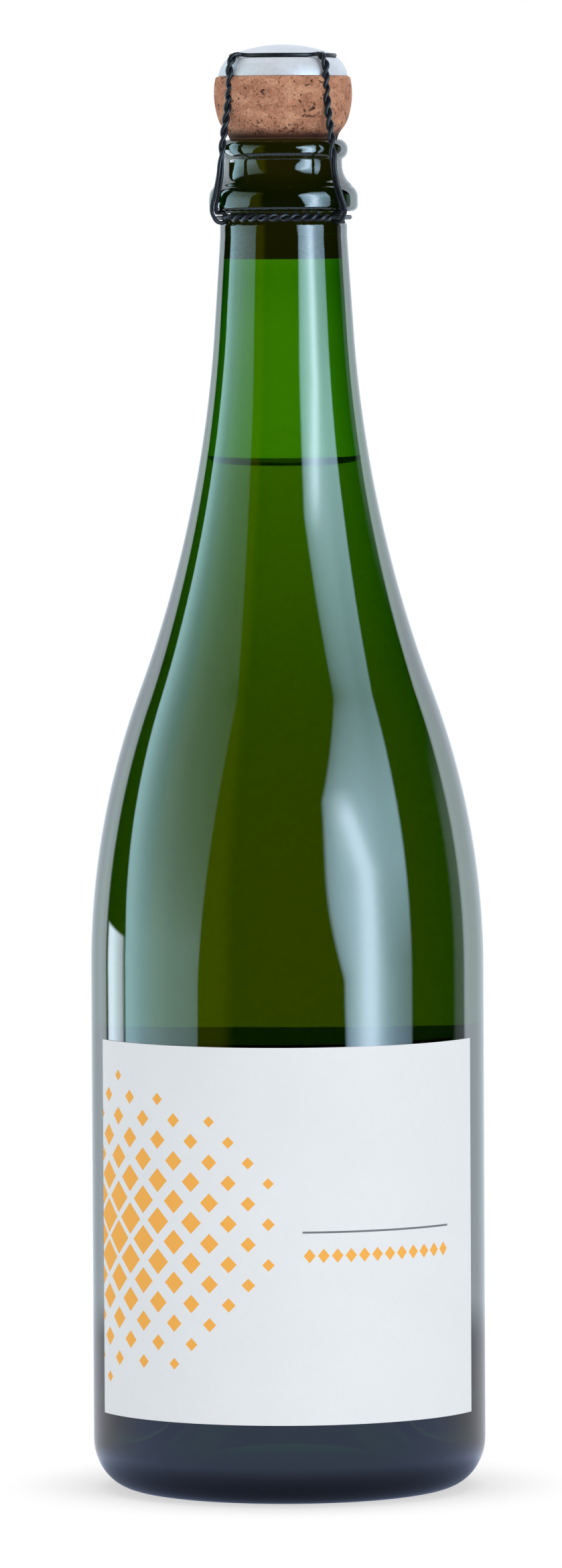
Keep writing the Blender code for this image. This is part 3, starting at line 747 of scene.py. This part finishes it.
def corkFinish(name, natural=False):
    # grains glued together, with dark crevices between some, or the plain grain of a natural disc
    material, shader, place = newMaterial(name, Roughness=0.85, Specular_IOR_Level=0.2)
    tree = material.node_tree
    grainScale, stretch = cork["naturalGrains" if natural else "grains"]
    bent = addNode(tree, "Mapping", {"Vector": place, "Scale": (1, 1, stretch)}).outputs[0]
    cells = {"Vector": bent, "Scale": grainScale}
    grains = addNode(tree, "TexVoronoi", cells)
    edges = addNode(tree, "TexVoronoi", cells, feature="DISTANCE_TO_EDGE")
    tone = addNode(tree, "SeparateColor", {0: grains.outputs["Color"]}).outputs[0]
    clouds = times(noise(place, *cork["clouds"]), cork["cloudShare"])
    tone = reckon("MULTIPLY_ADD", tone, 1 - cork["cloudShare"], clouds)
    base = ramp(tone, list(zip(cork["tones"], (cork["dark"], cork["middle"], cork["light"]))))
    specks = noise(place, *cork["specks"])
    base = blendColours(cork["speckShare"], base, ramp(specks, cork["speckStops"]), "OVERLAY")
    # towards the bottle's lip it is darker, a painted shade where it meets the lip, with more dark specks
    # in it
    height = axesOf(place)[2]
    low = times(mapRange(height, *cork["shade"]), mapRange(height, *cork["shadeFoot"]))
    dots = plus(noise(place, *cork["dots"]), times(low, cork["dotsInShade"]))
    base = blendColours(ramp(dots, cork["dotStops"]), base, cork["creviceAndShade"])
    # the painted shade at the lip takes the dark crevice colour
    base = blendColours(times(low, low, low), base, cork["creviceAndShade"])
    holes = ramp(noise(place, *cork["holes"]), cork["holeStops"])
    crevices = times(ramp(edges.outputs["Distance"], cork["edgeStops"]), holes)
    addBump(shader, minus(times(specks, cork["speckRelief"]), crevices), *cork["relief"])
    setInputs(shader, {
        "Base Color": blendColours(crevices, base, cork["creviceAndShade"]),
        # painted light: below the lip the cork glows a little
        "Emission Color": cork["paintedBoreGlow"],
        "Emission Strength": reckon("LESS_THAN", height, corkSeat),
    })
    return material


hood = {
    "wire": 0.0008,
    "drawn": 0.0009,  # the lacquered wire's diameter
    "strandOffset": 0.00045,
    "yaw": 38.7,
    "legs": 4,
    "ringCorner": 16.0,
    "cornerSteps": 8,
    "turns": 4.25,
    "legPoints": 118,
    "legTop": 62.0,
    "legEdge": 4.0,
    "reach": 0.00090,
    "overCap": 0.00385,
    "clearance": 0.00005,
    "lean": 0.0017,
    "backLean": 10.5,  # the two legs at the back lean round on their way down
    "backLeanTop": 0.3130,
    "openDepth": 0.0062,
    "untwist": 8,
    "pull": 16.0,
    "pullPower": 1.5,
    "ringPoints": 24,
    "loopPoints": 46,
    "draw": 0.4,
    "eyelet": ((1.15, -0.6), (0.0, -1.0), (-0.75, -0.68), (-1.0, 0.0), (-0.7, 0.72), (0.0, 1.0)),
    "metallic": 0.0,
    "specular": 0.28,
    "pale": (0.018, 0.0195, 0.027),  # worn lacquer
    "fine": (700.0, 3.0, 0.6),
    "coarse": (700.0, 3.0, 0.6),
    "mottle": 1 / 3,
    "mottleSpan": (0.45, 0.75),
    "roughness": (0.30, 0.48),
    "relief": (0.00004, 0.4),
}

belt = {
    "wire": 0.0009,
    "drawn": 0.0010,
    "depth": 0.01745,  # below the bottle's lip
    "strandOffset": 0.00052,
    "hugRadius": 0.0148,  # between the loops it is drawn in towards the glass
    "hugFrom": 7.0,
    "hugTo": 22.0,
    "splice": (38.0, -50.0),
    "turns": 4.75,
    "lead": 7.0,
    "keyStep": 5.0,
    "step": 2.5,
    "spliceStep": 1.0,
    "rootShare": 1.15,
    "bendShare": 3.0,
}

twist = {
    "angle": 175.0,
    "root": 0.01785,  # its root's radius, and that of the legs' openings
    "drop": 160.0,
    "length": 0.0105,
    "turns": 3.0,
    "points": 90,
    "eyeRadius": 0.0056,
    "eyeNeck": 0.0030,
    "eyeNeckShares": ((0.5, 0.14), (0.82, 0.48)),
    "eyeOpening": 30.0,
    "eyeSteps": 40,
    "eyePoints": 150,
}

eyeletRadius = belt["wire"] / 2 + gap + hood["wire"] / 2
beltRadius = mouth["seatRadius"] + gap + hood["wire"] / 2 + eyeletRadius
beltHeight = lipHeight - belt["depth"]
ringOnCap = cap["domeRadius"] + gap + hood["wire"] / 2
ringOnCapHeight = capLedge - cap["rounding"] + cork["seatLift"] + hood["drawn"] / 2


def legAngle(leg, height):
    # the belt pulls each leg's open loop round towards the twist
    start = hood["yaw"] + 360 / hood["legs"] * leg
    opening = lipHeight - hood["openDepth"]
    share = (opening - height) / (opening - beltHeight - eyeletRadius)
    pull = hood["pull"] * math.sin(math.radians(twist["angle"] - start))
    turn = pull * min(max(share, 0.0), 1.0) ** hood["pullPower"]
    if math.cos(math.radians(start)) < 0:
        leanShare = (hood["backLeanTop"] - height) / (hood["backLeanTop"] - opening)
        leanTurn = math.sin(math.pi / 2 * min(max(leanShare, 0.0), 1.0))
        turn *= 1 - hood["backLean"] / abs(pull)
        turn += math.copysign(hood["backLean"], pull) * leanTurn
    return start + turn


corkBody = turned("corkBody", corkOutline(), cork["segments"], cork["rounding"])
pressLegs(corkBody)
smoothShade(corkBody)
dress(corkBody, corkFinish("agglomeratedCork"), "cork", "agglomerated_cork", "cork_body")

naturalCork = corkFinish("naturalCork", natural=True)
for name, bottom, node in (
    ("corkDiscLower", corkBottom, "cork_disc_lower"),
    ("corkDiscUpper", corkBottom + cork["discThickness"] + gap, "cork_disc_upper"),
):
    top = bottom + cork["discThickness"] + gap / 2 - cork["glueLine"]
    bottom += cork["footRise"] if name == "corkDiscLower" else -gap / 2
    shank = cork["shankRadius"]
    disc = turned(name, [(0, top), (shank, top), (shank, bottom), (0, bottom)], cork["discSegments"])
    dress(disc, naturalCork, "cork", "natural_cork", node)


# the metal cap on the cork

def capOutline():
    domeEdge = capLedge + cap["domeStep"]
    domeTop = domeEdge + cap["domeRise"]
    dome = []
    for i in range(cap["domeSteps"] + 1):
        share = i / cap["domeSteps"]
        dome.append((cap["domeRadius"] * share, domeTop - cap["domeRise"] * share**2))
    shoulder = [(key.x, capEdge + key.y) for key in smoothPath(cap["skirtKeys"], cap["skirtPoints"])]
    wall = cap["wall"]
    innerShoulder = arcPoints(capCorner, (cap["shoulder"] - wall,) * 2, 0, 90, 10)
    innerDome = [(r * (1 - wall / cap["domeRadius"]), z - wall) for r, z in dome]
    innerEdge = [(shoulder[-1][0] - wall, capEdge), (cap["radius"] - wall, capEdge + wall)]
    innerLedge = [(cap["domeRadius"] - wall, capLedge - wall)]
    outside = dome + [(cap["domeRadius"], capLedge)] + shoulder
    return outside + innerEdge + innerShoulder + innerLedge + innerDome[::-1]


metalCap = turned("metalCap", capOutline(), cap["segments"], cap["rounding"])
dress(metalCap, mottledFinish("tinplate", cap), "muselet", "tinned_steel", "plaque")


# the wire hood, its belt and the twist

def legAxis():
    # the middle of a leg's twisted pair, (radius, height), from the cap to where it opens
    keys = arcPoints(capCorner, (hood["overCap"],) * 2, hood["legTop"], hood["legEdge"], 3)
    beside = cork["bulgeRadius"] - cork["bite"] + hood["clearance"] + hood["reach"]
    keys.append((beside, corkSeat + cork["bulgeHeight"]))
    keys.append((beside + hood["lean"], lipHeight))
    keys.append((twist["root"], lipHeight - hood["openDepth"]))
    return keys


def eyeletKeys():
    # round the belt, from the leg's outer strand to its inner one, (radius, height)
    inner = mouth["ringRadius"] + gap + hood["wire"] / 2
    outer = inner + hood["wire"] + gap
    openRadius, openHeight = legAxis()[-1]
    besideRing = ringTop - mouth["ringBand"]
    draw = eyeletRadius * hood["draw"]
    down = [
        (openRadius + hood["strandOffset"], openHeight), (outer, ringTop),
        (outer, besideRing), (outer - draw, beltHeight + eyeletRadius),
    ]
    up = [
        (inner - draw, beltHeight + eyeletRadius), (inner, besideRing),
        (inner, ringTop), (openRadius - hood["strandOffset"], openHeight),
    ]
    bend = [(beltRadius + eyeletRadius * r, beltHeight + eyeletRadius * h) for r, h in hood["eyelet"]]
    return down + bend + up


def ringCorner(strandEnd, ringEnd, angle, side):
    # the bend from a leg's strand on to the ring on the cap
    corner = around(ringOnCap, angle, ringOnCapHeight) + around(hood["strandOffset"], angle + 90, 0) * side
    points = []
    for i in range(1, hood["cornerSteps"]):
        share = i / hood["cornerSteps"]
        points.append(strandEnd.lerp(corner, share).lerp(corner.lerp(ringEnd, share), share))
    return points


def hoodPath():
    # one closed line: a ring quarter, down a leg, round the belt, up again, and so on
    axis = smoothPath(legAxis(), hood["legPoints"])
    last = len(axis) - 1
    strand = []
    for i, middle in enumerate(axis):
        share = i / last
        along = (axis[min(i + 1, last)] - axis[max(i - 1, 0)]).normalized()
        power = hood["untwist"]
        wound = (power * share - share**power) / (power - 1)
        strand.append((middle, Vector((-along.y, along.x)), math.tau * hood["turns"] * wound))
    eyelet = smoothPath(eyeletKeys(), hood["loopPoints"])
    points = []
    for leg in range(hood["legs"]):
        down, up = [], []
        for middle, out, turn in strand:
            angle = legAngle(leg, middle.y)
            sideways = around(1, angle + 90, 0)
            for way, phase in ((down, math.pi), (up, 0.0)):
                flat = middle + out * hood["strandOffset"] * math.sin(turn + phase)
                swing = sideways * hood["strandOffset"] * math.cos(turn + phase)
                way.append(around(flat.x, angle, flat.y) + swing)
        loop = [around(key.x, legAngle(leg, key.y), key.y) for key in eyelet[1:-1]]
        if (loop[0] - down[-1]).length > (loop[0] - up[-1]).length:
            loop.reverse()
        angle = legAngle(leg, corkTop)
        start = angle + hood["ringCorner"]
        sweep = 360 / hood["legs"] - 2 * hood["ringCorner"]
        ring = [around(ringOnCap, start + sweep * i / hood["ringPoints"], ringOnCapHeight)
                for i in range(hood["ringPoints"] + 1)]
        onto = ringCorner(up[0], ring[0], angle, 1)
        off = ringCorner(down[0], around(ringOnCap, angle - hood["ringCorner"], ringOnCapHeight), angle, -1)
        points += off[::-1] + down + loop + up[::-1] + onto + ring
    return points


def eased(value):
    # a smooth step, of a value kept from 0 to 1
    share = min(max(value, 0.0), 1.0)
    return share * share * (3 - 2 * share)


def beltReach(angle):
    # the loops, the splice and the twist hold the belt off the glass
    start, end = belt["splice"]
    holds = [legAngle(leg, beltHeight) for leg in range(hood["legs"])] + [twist["angle"], (start + end) / 2]
    off = []
    for place in holds:
        away = abs((angle - place + 180) % 360 - 180)
        if place == holds[-1]:
            away = max(away - (start - end) / 2, 0.0)
        off.append(1 - eased((away - belt["hugFrom"]) / (belt["hugTo"] - belt["hugFrom"])))
    return belt["hugRadius"] + (beltRadius - belt["hugRadius"]) * max(off)


def beltPath(root, near, far, phase):
    # half of the belt: from the twist at the back, round to the splice in front and through it
    way = 1 if near > root else -1
    out = around(1, twist["angle"], 0)
    across = around(1, twist["angle"] + 90, 0) * way
    height = Vector((0, 0, beltHeight))
    offset = belt["strandOffset"]
    keys = [
        out * twist["root"] + across * hood["strandOffset"] + height,
        out * (twist["root"] + beltRadius) / 2 + across * offset * belt["rootShare"] + height,
    ]
    first = root + way * math.degrees(belt["bendShare"] * offset / beltRadius)
    lead = near - way * belt["lead"]
    steps = round(abs(lead - first) / belt["keyStep"])
    for i in range(steps + 1):
        angle = first + (lead - first) * i / steps
        keys.append(around(beltReach(angle), angle, beltHeight))
    path = smoothPath(keys, round(abs(lead - root) / belt["step"]))
    steps = round(abs(far - lead) / belt["spliceStep"])
    start, end = belt["splice"]
    for i in range(1, steps + 1):
        angle = lead + (far - lead) * i / steps
        turn = math.tau * belt["turns"] * (angle - end) / (start - end) + phase
        reach = offset * eased(abs(angle - lead) / belt["lead"])
        radius = beltReach(angle) + reach * math.cos(turn)
        path.append(around(radius, angle, beltHeight + reach * math.sin(turn)))
    return path


def twistPlace():
    # the twist's own frame: its root at the origin, hanging along -Z, its eye across X
    root = around(twist["root"], twist["angle"], beltHeight)
    swing = Matrix.Rotation(math.radians(-twist["drop"]), 4, "X")
    return Matrix.Translation(root) @ Matrix.Rotation(math.radians(twist["angle"]), 4, "Z") @ swing


def twistStrand(side):
    place = twistPlace()
    path = []
    for i in range(twist["points"] + 1):
        share = i / twist["points"]
        turn = math.tau * twist["turns"] * share
        across = Vector((math.cos(turn), math.sin(turn), 0)) * hood["strandOffset"] * side
        path.append(place @ (across - Vector((0, 0, twist["length"] * share))))
    return path


def eyePath():
    offset = hood["strandOffset"]
    top = twist["length"] + gap + offset
    neckEnd = twist["length"] + 2 * gap + hood["wire"] / 2 + twist["eyeNeck"]
    opening = math.radians(twist["eyeOpening"])
    middle = neckEnd + twist["eyeRadius"] * math.cos(opening)
    spread = twist["eyeRadius"] * math.sin(opening) - offset
    neck = [(offset, -top)]
    for lengthShare, spreadShare in twist["eyeNeckShares"]:
        neck.append((offset + spread * spreadShare, -top - (neckEnd - top) * lengthShare))
    radii = (twist["eyeRadius"], twist["eyeRadius"])
    start, end = 90 - twist["eyeOpening"], twist["eyeOpening"] - 270
    ring = arcPoints((0, -middle), radii, start, end, twist["eyeSteps"])
    crown = arcPoints((0, -top), (offset, offset), 180, 0, 8)
    keys = neck + ring + [(-x, z) for x, z in reversed(neck)]
    points = smoothPath(keys, twist["eyePoints"]) + crown[1:-1]
    return [twistPlace() @ Vector((point[0], 0, point[1])) for point in points]


wireBlack = mottledFinish("blackWire", hood)
wireHood = drawWire("wireHood", hoodPath(), hood["drawn"], closed=True)
dress(wireHood, wireBlack, "muselet", "black_wire", "wire_hood")
beltRight = drawWire("beltRight", beltPath(twist["angle"], *belt["splice"], 0.0), belt["drawn"])
dress(beltRight, wireBlack, "muselet", "black_wire", "belt_wire_right")
leftPath = beltPath(twist["angle"] - 360, *reversed(belt["splice"]), math.pi)
beltLeft = drawWire("beltLeft", leftPath, belt["drawn"])
dress(beltLeft, wireBlack, "muselet", "black_wire", "belt_wire_left")
strands = [drawWire("strand", twistStrand(side), hood["wire"]) for side in (1, -1)]
dress(joined("twistStem", strands), wireBlack, "twist", "black_wire", "twist_stem")
twistEye = drawWire("twistEye", eyePath(), hood["wire"], closed=True)
dress(twistEye, wireBlack, "eye", "black_wire", "twist_loop")


# studio

studio = {
    "floorRadius": 1.2,
    "floorFade": (0.040, 0.068),
    "floorLift": 0.6,
    "floorTone": 0.92,
    # painted reflection: the floor's tones that gloss sees, in front and behind
    "floorShine": (0.76, 0.96, 1.52),
    "backShine": (0.72, 0.74, 0.82),
    "shineTurn": (-0.03, 0.05),
    # painted shadow in that reflection, near the bottle
    "nearShineReach": (0.038, 0.062),
    "nearShine": 0.21,
    "farShineReach": (0.30, 0.42),  # beyond this gloss sees past the floor
    "throughReach": (0.16, 0.26),  # within this the floor is dark through the glass, a painted shadow of the bottle
    "throughTone": 0.02,
    "skyForMatte": 0.50,
    "peak": 16.0,
    "boxTop": (32.0, 40.0),
    "boxFoot": (-36.0, -30.0),
    "leftTint": (0.55, 0.88, 1.0),
    "rightTint": (0.53, 0.80, 1.0),
    "backTint": (0.80, 0.91, 1.0),
    "glowTint": (1.0, 1.1, 0.0),
    # what gloss shows: across each soft box from its inner to its outer edge (share, brightness),
    # with the edges in degrees from the front at the horizon, and their change with height
    "leftInner": (52.4, -0.30),
    "leftOuter": (111.5, 0.5),
    "leftFall": 12.0,
    "left": (
        (0.0, 0.0), (0.02, 2.5), (0.17, 3.0), (0.30, 3.2), (0.43, 3.7), (0.57, 4.1),
        (0.72, 4.9), (0.81, 5.6), (0.90, 5.9), (0.97, 5.6), (1.0, 0.0),
    ),
    "right": (
        (0.0, 0.0), (0.05, 6.2), (0.1, 8.0), (0.22, 10.0), (0.38, 10.4), (0.52, 10.2),
        (0.61, 9.4), (0.69, 8.4), (0.78, 7.8), (0.87, 7.6), (0.96, 7.4), (1.0, 0.0),
    ),
    "rightInner": 22.5,
    "rightOuter": 79.0,
    "rightFoot": (12.0, 17.0, 0.038),  # below this height it slants over this reach, by this
    "rightHead": (22.0, 1.4),
    "rightFall": (14.0, 16.0),
    "rightFallShares": (1.05, -0.35),
    "rightDim": (0.5, 1.2),
    "rightDimTop": (10.0, -2.0),
    "ridge": 8.0,
    "ridgeMiddle": 49.8,
    "ridgeLean": (10.4, 1.1),
    "ridgeFrom": 0.15,
    "ridgeTint": (0.75, 0.86, 1.0),
    "ridgeWidths": (8.0, 6.0),
    "ridgeTop": (18.0, 24.0),
    # and round the bottle behind it (degrees, brightness)
    "backs": (
        (-180, 1.0), (-163, 1.0), (-153, 1.15), (-148, 1.45), (-142, 1.9), (-135, 2.0), (-133, 0.0),
        (127, 0.0), (128.5, 2.5), (132, 2.5), (138, 1.9), (148, 1.4), (163, 1.15), (180, 1.0),
    ),
    "backEdge": ((114, 0.0), (118, 0.5), (127, 0.6), (128.5, 0.0)),
    "backEdgeTop": (7.0, 15.0),
    "glow": ((-95, 0.0), (-85, 0.35), (-40, 0.35), (-32, 0.0)),
    "lowPanel": ((-132, 0.0), (-130, 6.0), (-125, 7.6), (-120, 6.6), (-116, 5.6), (-113, 4.5), (-112, 0.0)),
    "panelTint": (0.78, 0.93, 1.06),
    "lowPanelTop": (-0.9, -0.5),
}


def lightWorld():
    scene.world = bpy.data.worlds.new("studio")
    tree = clearedTree(scene.world)
    axes = axesOf(addNode(tree, "TexCoord").outputs["Generated"])
    turn = reckon("DEGREES", reckon("ARCTAN2", axes[0], times(axes[1], -1.0)))
    away = reckon("ABSOLUTE", turn)
    rise = reckon("DEGREES", reckon("ARCSINE", axes[2]))
    up = positive(rise)
    peak = studio["peak"]

    def across(inner, outer, stops):
        # the brightness at a share of the way from the inner edge to the outer one
        share = over(minus(away, inner), minus(outer, inner))
        return share, ramp(share, [(place, strength / peak) for place, strength in stops])

    def roundIt(stops):
        # the brightness at an angle round the bottle
        value = sloped(turn, 0.5, 1 / 360)
        return ramp(value, [(degrees / 360 + 0.5, strength / peak) for degrees, strength in stops])

    # the left box widens with height, and its inner part weakens
    edges = (sloped(rise, *studio["leftInner"]), sloped(up, *studio["leftOuter"]))
    share, left = across(*edges, studio["left"])
    fall = positive(times(over(up, studio["leftFall"]), minus(1.0, share)))
    left = times(over(left, plus(fall, 1.0)), reckon("LESS_THAN", turn, 0.0))
    # the right box's foot and head slant away from the front
    start, reach, bend = studio["rightFoot"]
    below = reckon("MINIMUM", positive(minus(start, rise)), reach)
    start, lean = studio["rightHead"]
    slant = plus(times(below, below, bend), times(positive(minus(rise, start)), lean))
    share, right = across(plus(slant, studio["rightInner"]), studio["rightOuter"], studio["right"])
    start, reach = studio["rightFall"]
    fall = positive(over(minus(rise, start), reach))
    right = over(right, plus(times(fall, fall, sloped(share, *studio["rightFallShares"])), 1.0))
    # low down its outer part is weaker
    start, strength = studio["rightDim"]
    dim = mapRange(rise, *studio["rightDimTop"], smooth=False)
    dim = minus(1.0, times(dim, strength, positive(minus(share, start))))
    right = times(right, dim, reckon("GREATER_THAN", turn, 0.0))
    # and a bright ridge on it leans in towards its head
    start, lean = studio["ridgeLean"]
    off = minus(plus(away, times(positive(minus(rise, start)), lean)), studio["ridgeMiddle"])
    inWidth, outWidth = studio["ridgeWidths"]
    narrow = times(reckon("GREATER_THAN", off, 0.0), 1 / outWidth - 1 / inWidth)
    off = times(off, plus(narrow, 1 / inWidth))
    ridge = over(studio["ridge"] / peak, reckon("EXPONENT", times(off, off)))
    ridge = times(ridge, reckon("GREATER_THAN", right, studio["ridgeFrom"]))

    def under(span):
        # 1 up to the span's start, in degrees of height, and 0 from its end
        return mapRange(rise, *span, 1.0, 0.0)

    ends = times(under(studio["boxTop"]), mapRange(rise, *studio["boxFoot"]))
    gloss = (0, 0, 0)
    for strength, tint in (
        (times(left, ends), "leftTint"),
        (times(right, ends), "rightTint"),
        (times(ridge, under(studio["ridgeTop"]), ends), "ridgeTint"),
        (times(roundIt(studio["lowPanel"]), under(studio["lowPanelTop"]), ends), "panelTint"),
        (roundIt(studio["backs"]), "backTint"),
        (times(roundIt(studio["backEdge"]), under(studio["backEdgeTop"])), "backTint"),
        (times(roundIt(studio["glow"]), ends), "glowTint"),
    ):
        gloss = blendColours(strength, gloss, studio[tint], "ADD")
    rays = addNode(tree, "LightPath").outputs
    grounds = []
    for colour, strength in (((1, 1, 1), studio["skyForMatte"]), (gloss, peak), ((1, 1, 1), 1.0)):
        grounds.append(addNode(tree, "Background", {"Color": colour, "Strength": strength}).outputs[0])
    seen = reckon("MAXIMUM", rays["Is Camera Ray"], rays["Is Transmission Ray"])
    both = mixShaders(rays["Is Glossy Ray"], grounds[0], grounds[1])
    addNode(tree, "OutputWorld", {"Surface": mixShaders(seen, both, grounds[2])})
    scene.world.cycles.sampling_method = "NONE"


def paleFloor():
    # matte and pale near the bottle and white beyond, with painted reflection tones for gloss, dimmed near
    # the bottle, and a painted shadow through glass
    material = bpy.data.materials.new("paleFloor")
    tree = clearedTree(material)
    place = addNode(tree, "TexCoord").outputs["Object"]
    away = addNode(tree, "VectorMath", {0: place}, operation="LENGTH").outputs["Value"]
    rays = addNode(tree, "LightPath").outputs
    matte = addNode(tree, "BsdfDiffuse", {"Color": (studio["floorTone"],) * 3}).outputs[0]
    white = addNode(tree, "Emission", {"Strength": 1.0}).outputs[0]
    plain = mixShaders(mapRange(away, *studio["floorFade"], studio["floorLift"]), matte, white)
    # painted shadow: through the glass the floor near the bottle is dark
    through = mapRange(away, *studio["throughReach"], studio["throughTone"])
    through = addNode(tree, "Emission", {"Strength": through}).outputs[0]
    plain = mixShaders(rays["Is Transmission Ray"], plain, through)
    # painted reflection: what gloss sees on the floor, dimmed near the bottle as a painted shadow
    behind = mapRange(axesOf(place)[1], *studio["shineTurn"], smooth=False)
    shine = addNode(tree, "Emission", {
        "Color": blendColours(behind, studio["floorShine"], studio["backShine"]),
        "Strength": mapRange(away, *studio["nearShineReach"], studio["nearShine"]),
    }).outputs[0]
    clear = addNode(tree, "BsdfTransparent").outputs[0]
    shine = mixShaders(mapRange(away, *studio["farShineReach"]), shine, clear)
    onlyGloss = times(rays["Is Glossy Ray"], minus(1.0, rays["Is Transmission Ray"]))
    addNode(tree, "OutputMaterial", {"Surface": mixShaders(onlyGloss, plain, shine)})
    return material


lamps = {
    # place, target, size and power
    "keyLamp": ((1.5, -1.5, 0.9), (0, 0, 0.16), (1.0, 1.4), 13.5),
    "fillLamp": ((-1.5, -1.5, 0.8), (0, 0, 0.16), (1.0, 1.4), 6.0),
    "topLamp": ((0.0, 0.1, 1.7), (0, 0, 0), (1.6, 1.6), 13.0),
}

bpy.ops.mesh.primitive_circle_add(vertices=128, radius=studio["floorRadius"], fill_type="NGON")
floor = bpy.context.object
floor.name = "floor"
floor.data.materials.append(paleFloor())

lightWorld()
for name, (place, target, size, power) in lamps.items():
    facing = (Vector(target) - Vector(place)).to_track_quat("-Z", "Y").to_euler()
    bpy.ops.object.light_add(type="AREA", location=place, rotation=facing)
    lamp = bpy.context.object
    lamp.name = lamp.data.name = name
    lamp.data.shape = "RECTANGLE"
    lamp.data.size, lamp.data.size_y = size
    lamp.data.energy = power
    lamp.visible_glossy = lamp.visible_transmission = lamp.visible_camera = False

view = {
    "height": 0.280,
    "distance": 2.325,
    "pitch": 3.007,
    "roll": -0.29,
    "side": -0.00122,
    "focalPixels": 15512,
    "frameHeight": 2340,
    "sensor": 36.0,
}

bpy.ops.object.camera_add(location=(view["side"], -view["distance"], view["height"]))
camera = bpy.context.object
facing = Matrix.Rotation(math.radians(90 - view["pitch"]), 3, "X")
camera.rotation_euler = (facing @ Matrix.Rotation(math.radians(view["roll"]), 3, "Z")).to_euler()
camera.data.sensor_fit = "AUTO"
camera.data.sensor_width = view["sensor"]
camera.data.lens = view["focalPixels"] / view["frameHeight"] * view["sensor"]
camera.data.clip_end = 20
scene.camera = camera

scene.view_settings.view_transform = "Standard"
scene.cycles.max_bounces = scene.cycles.transmission_bounces = 24
scene.cycles.glossy_bounces = 8
scene.cycles.diffuse_bounces = 3
scene.cycles.caustics_reflective = scene.cycles.caustics_refractive = False
print("studio set")

bpy.context.view_layer.update()
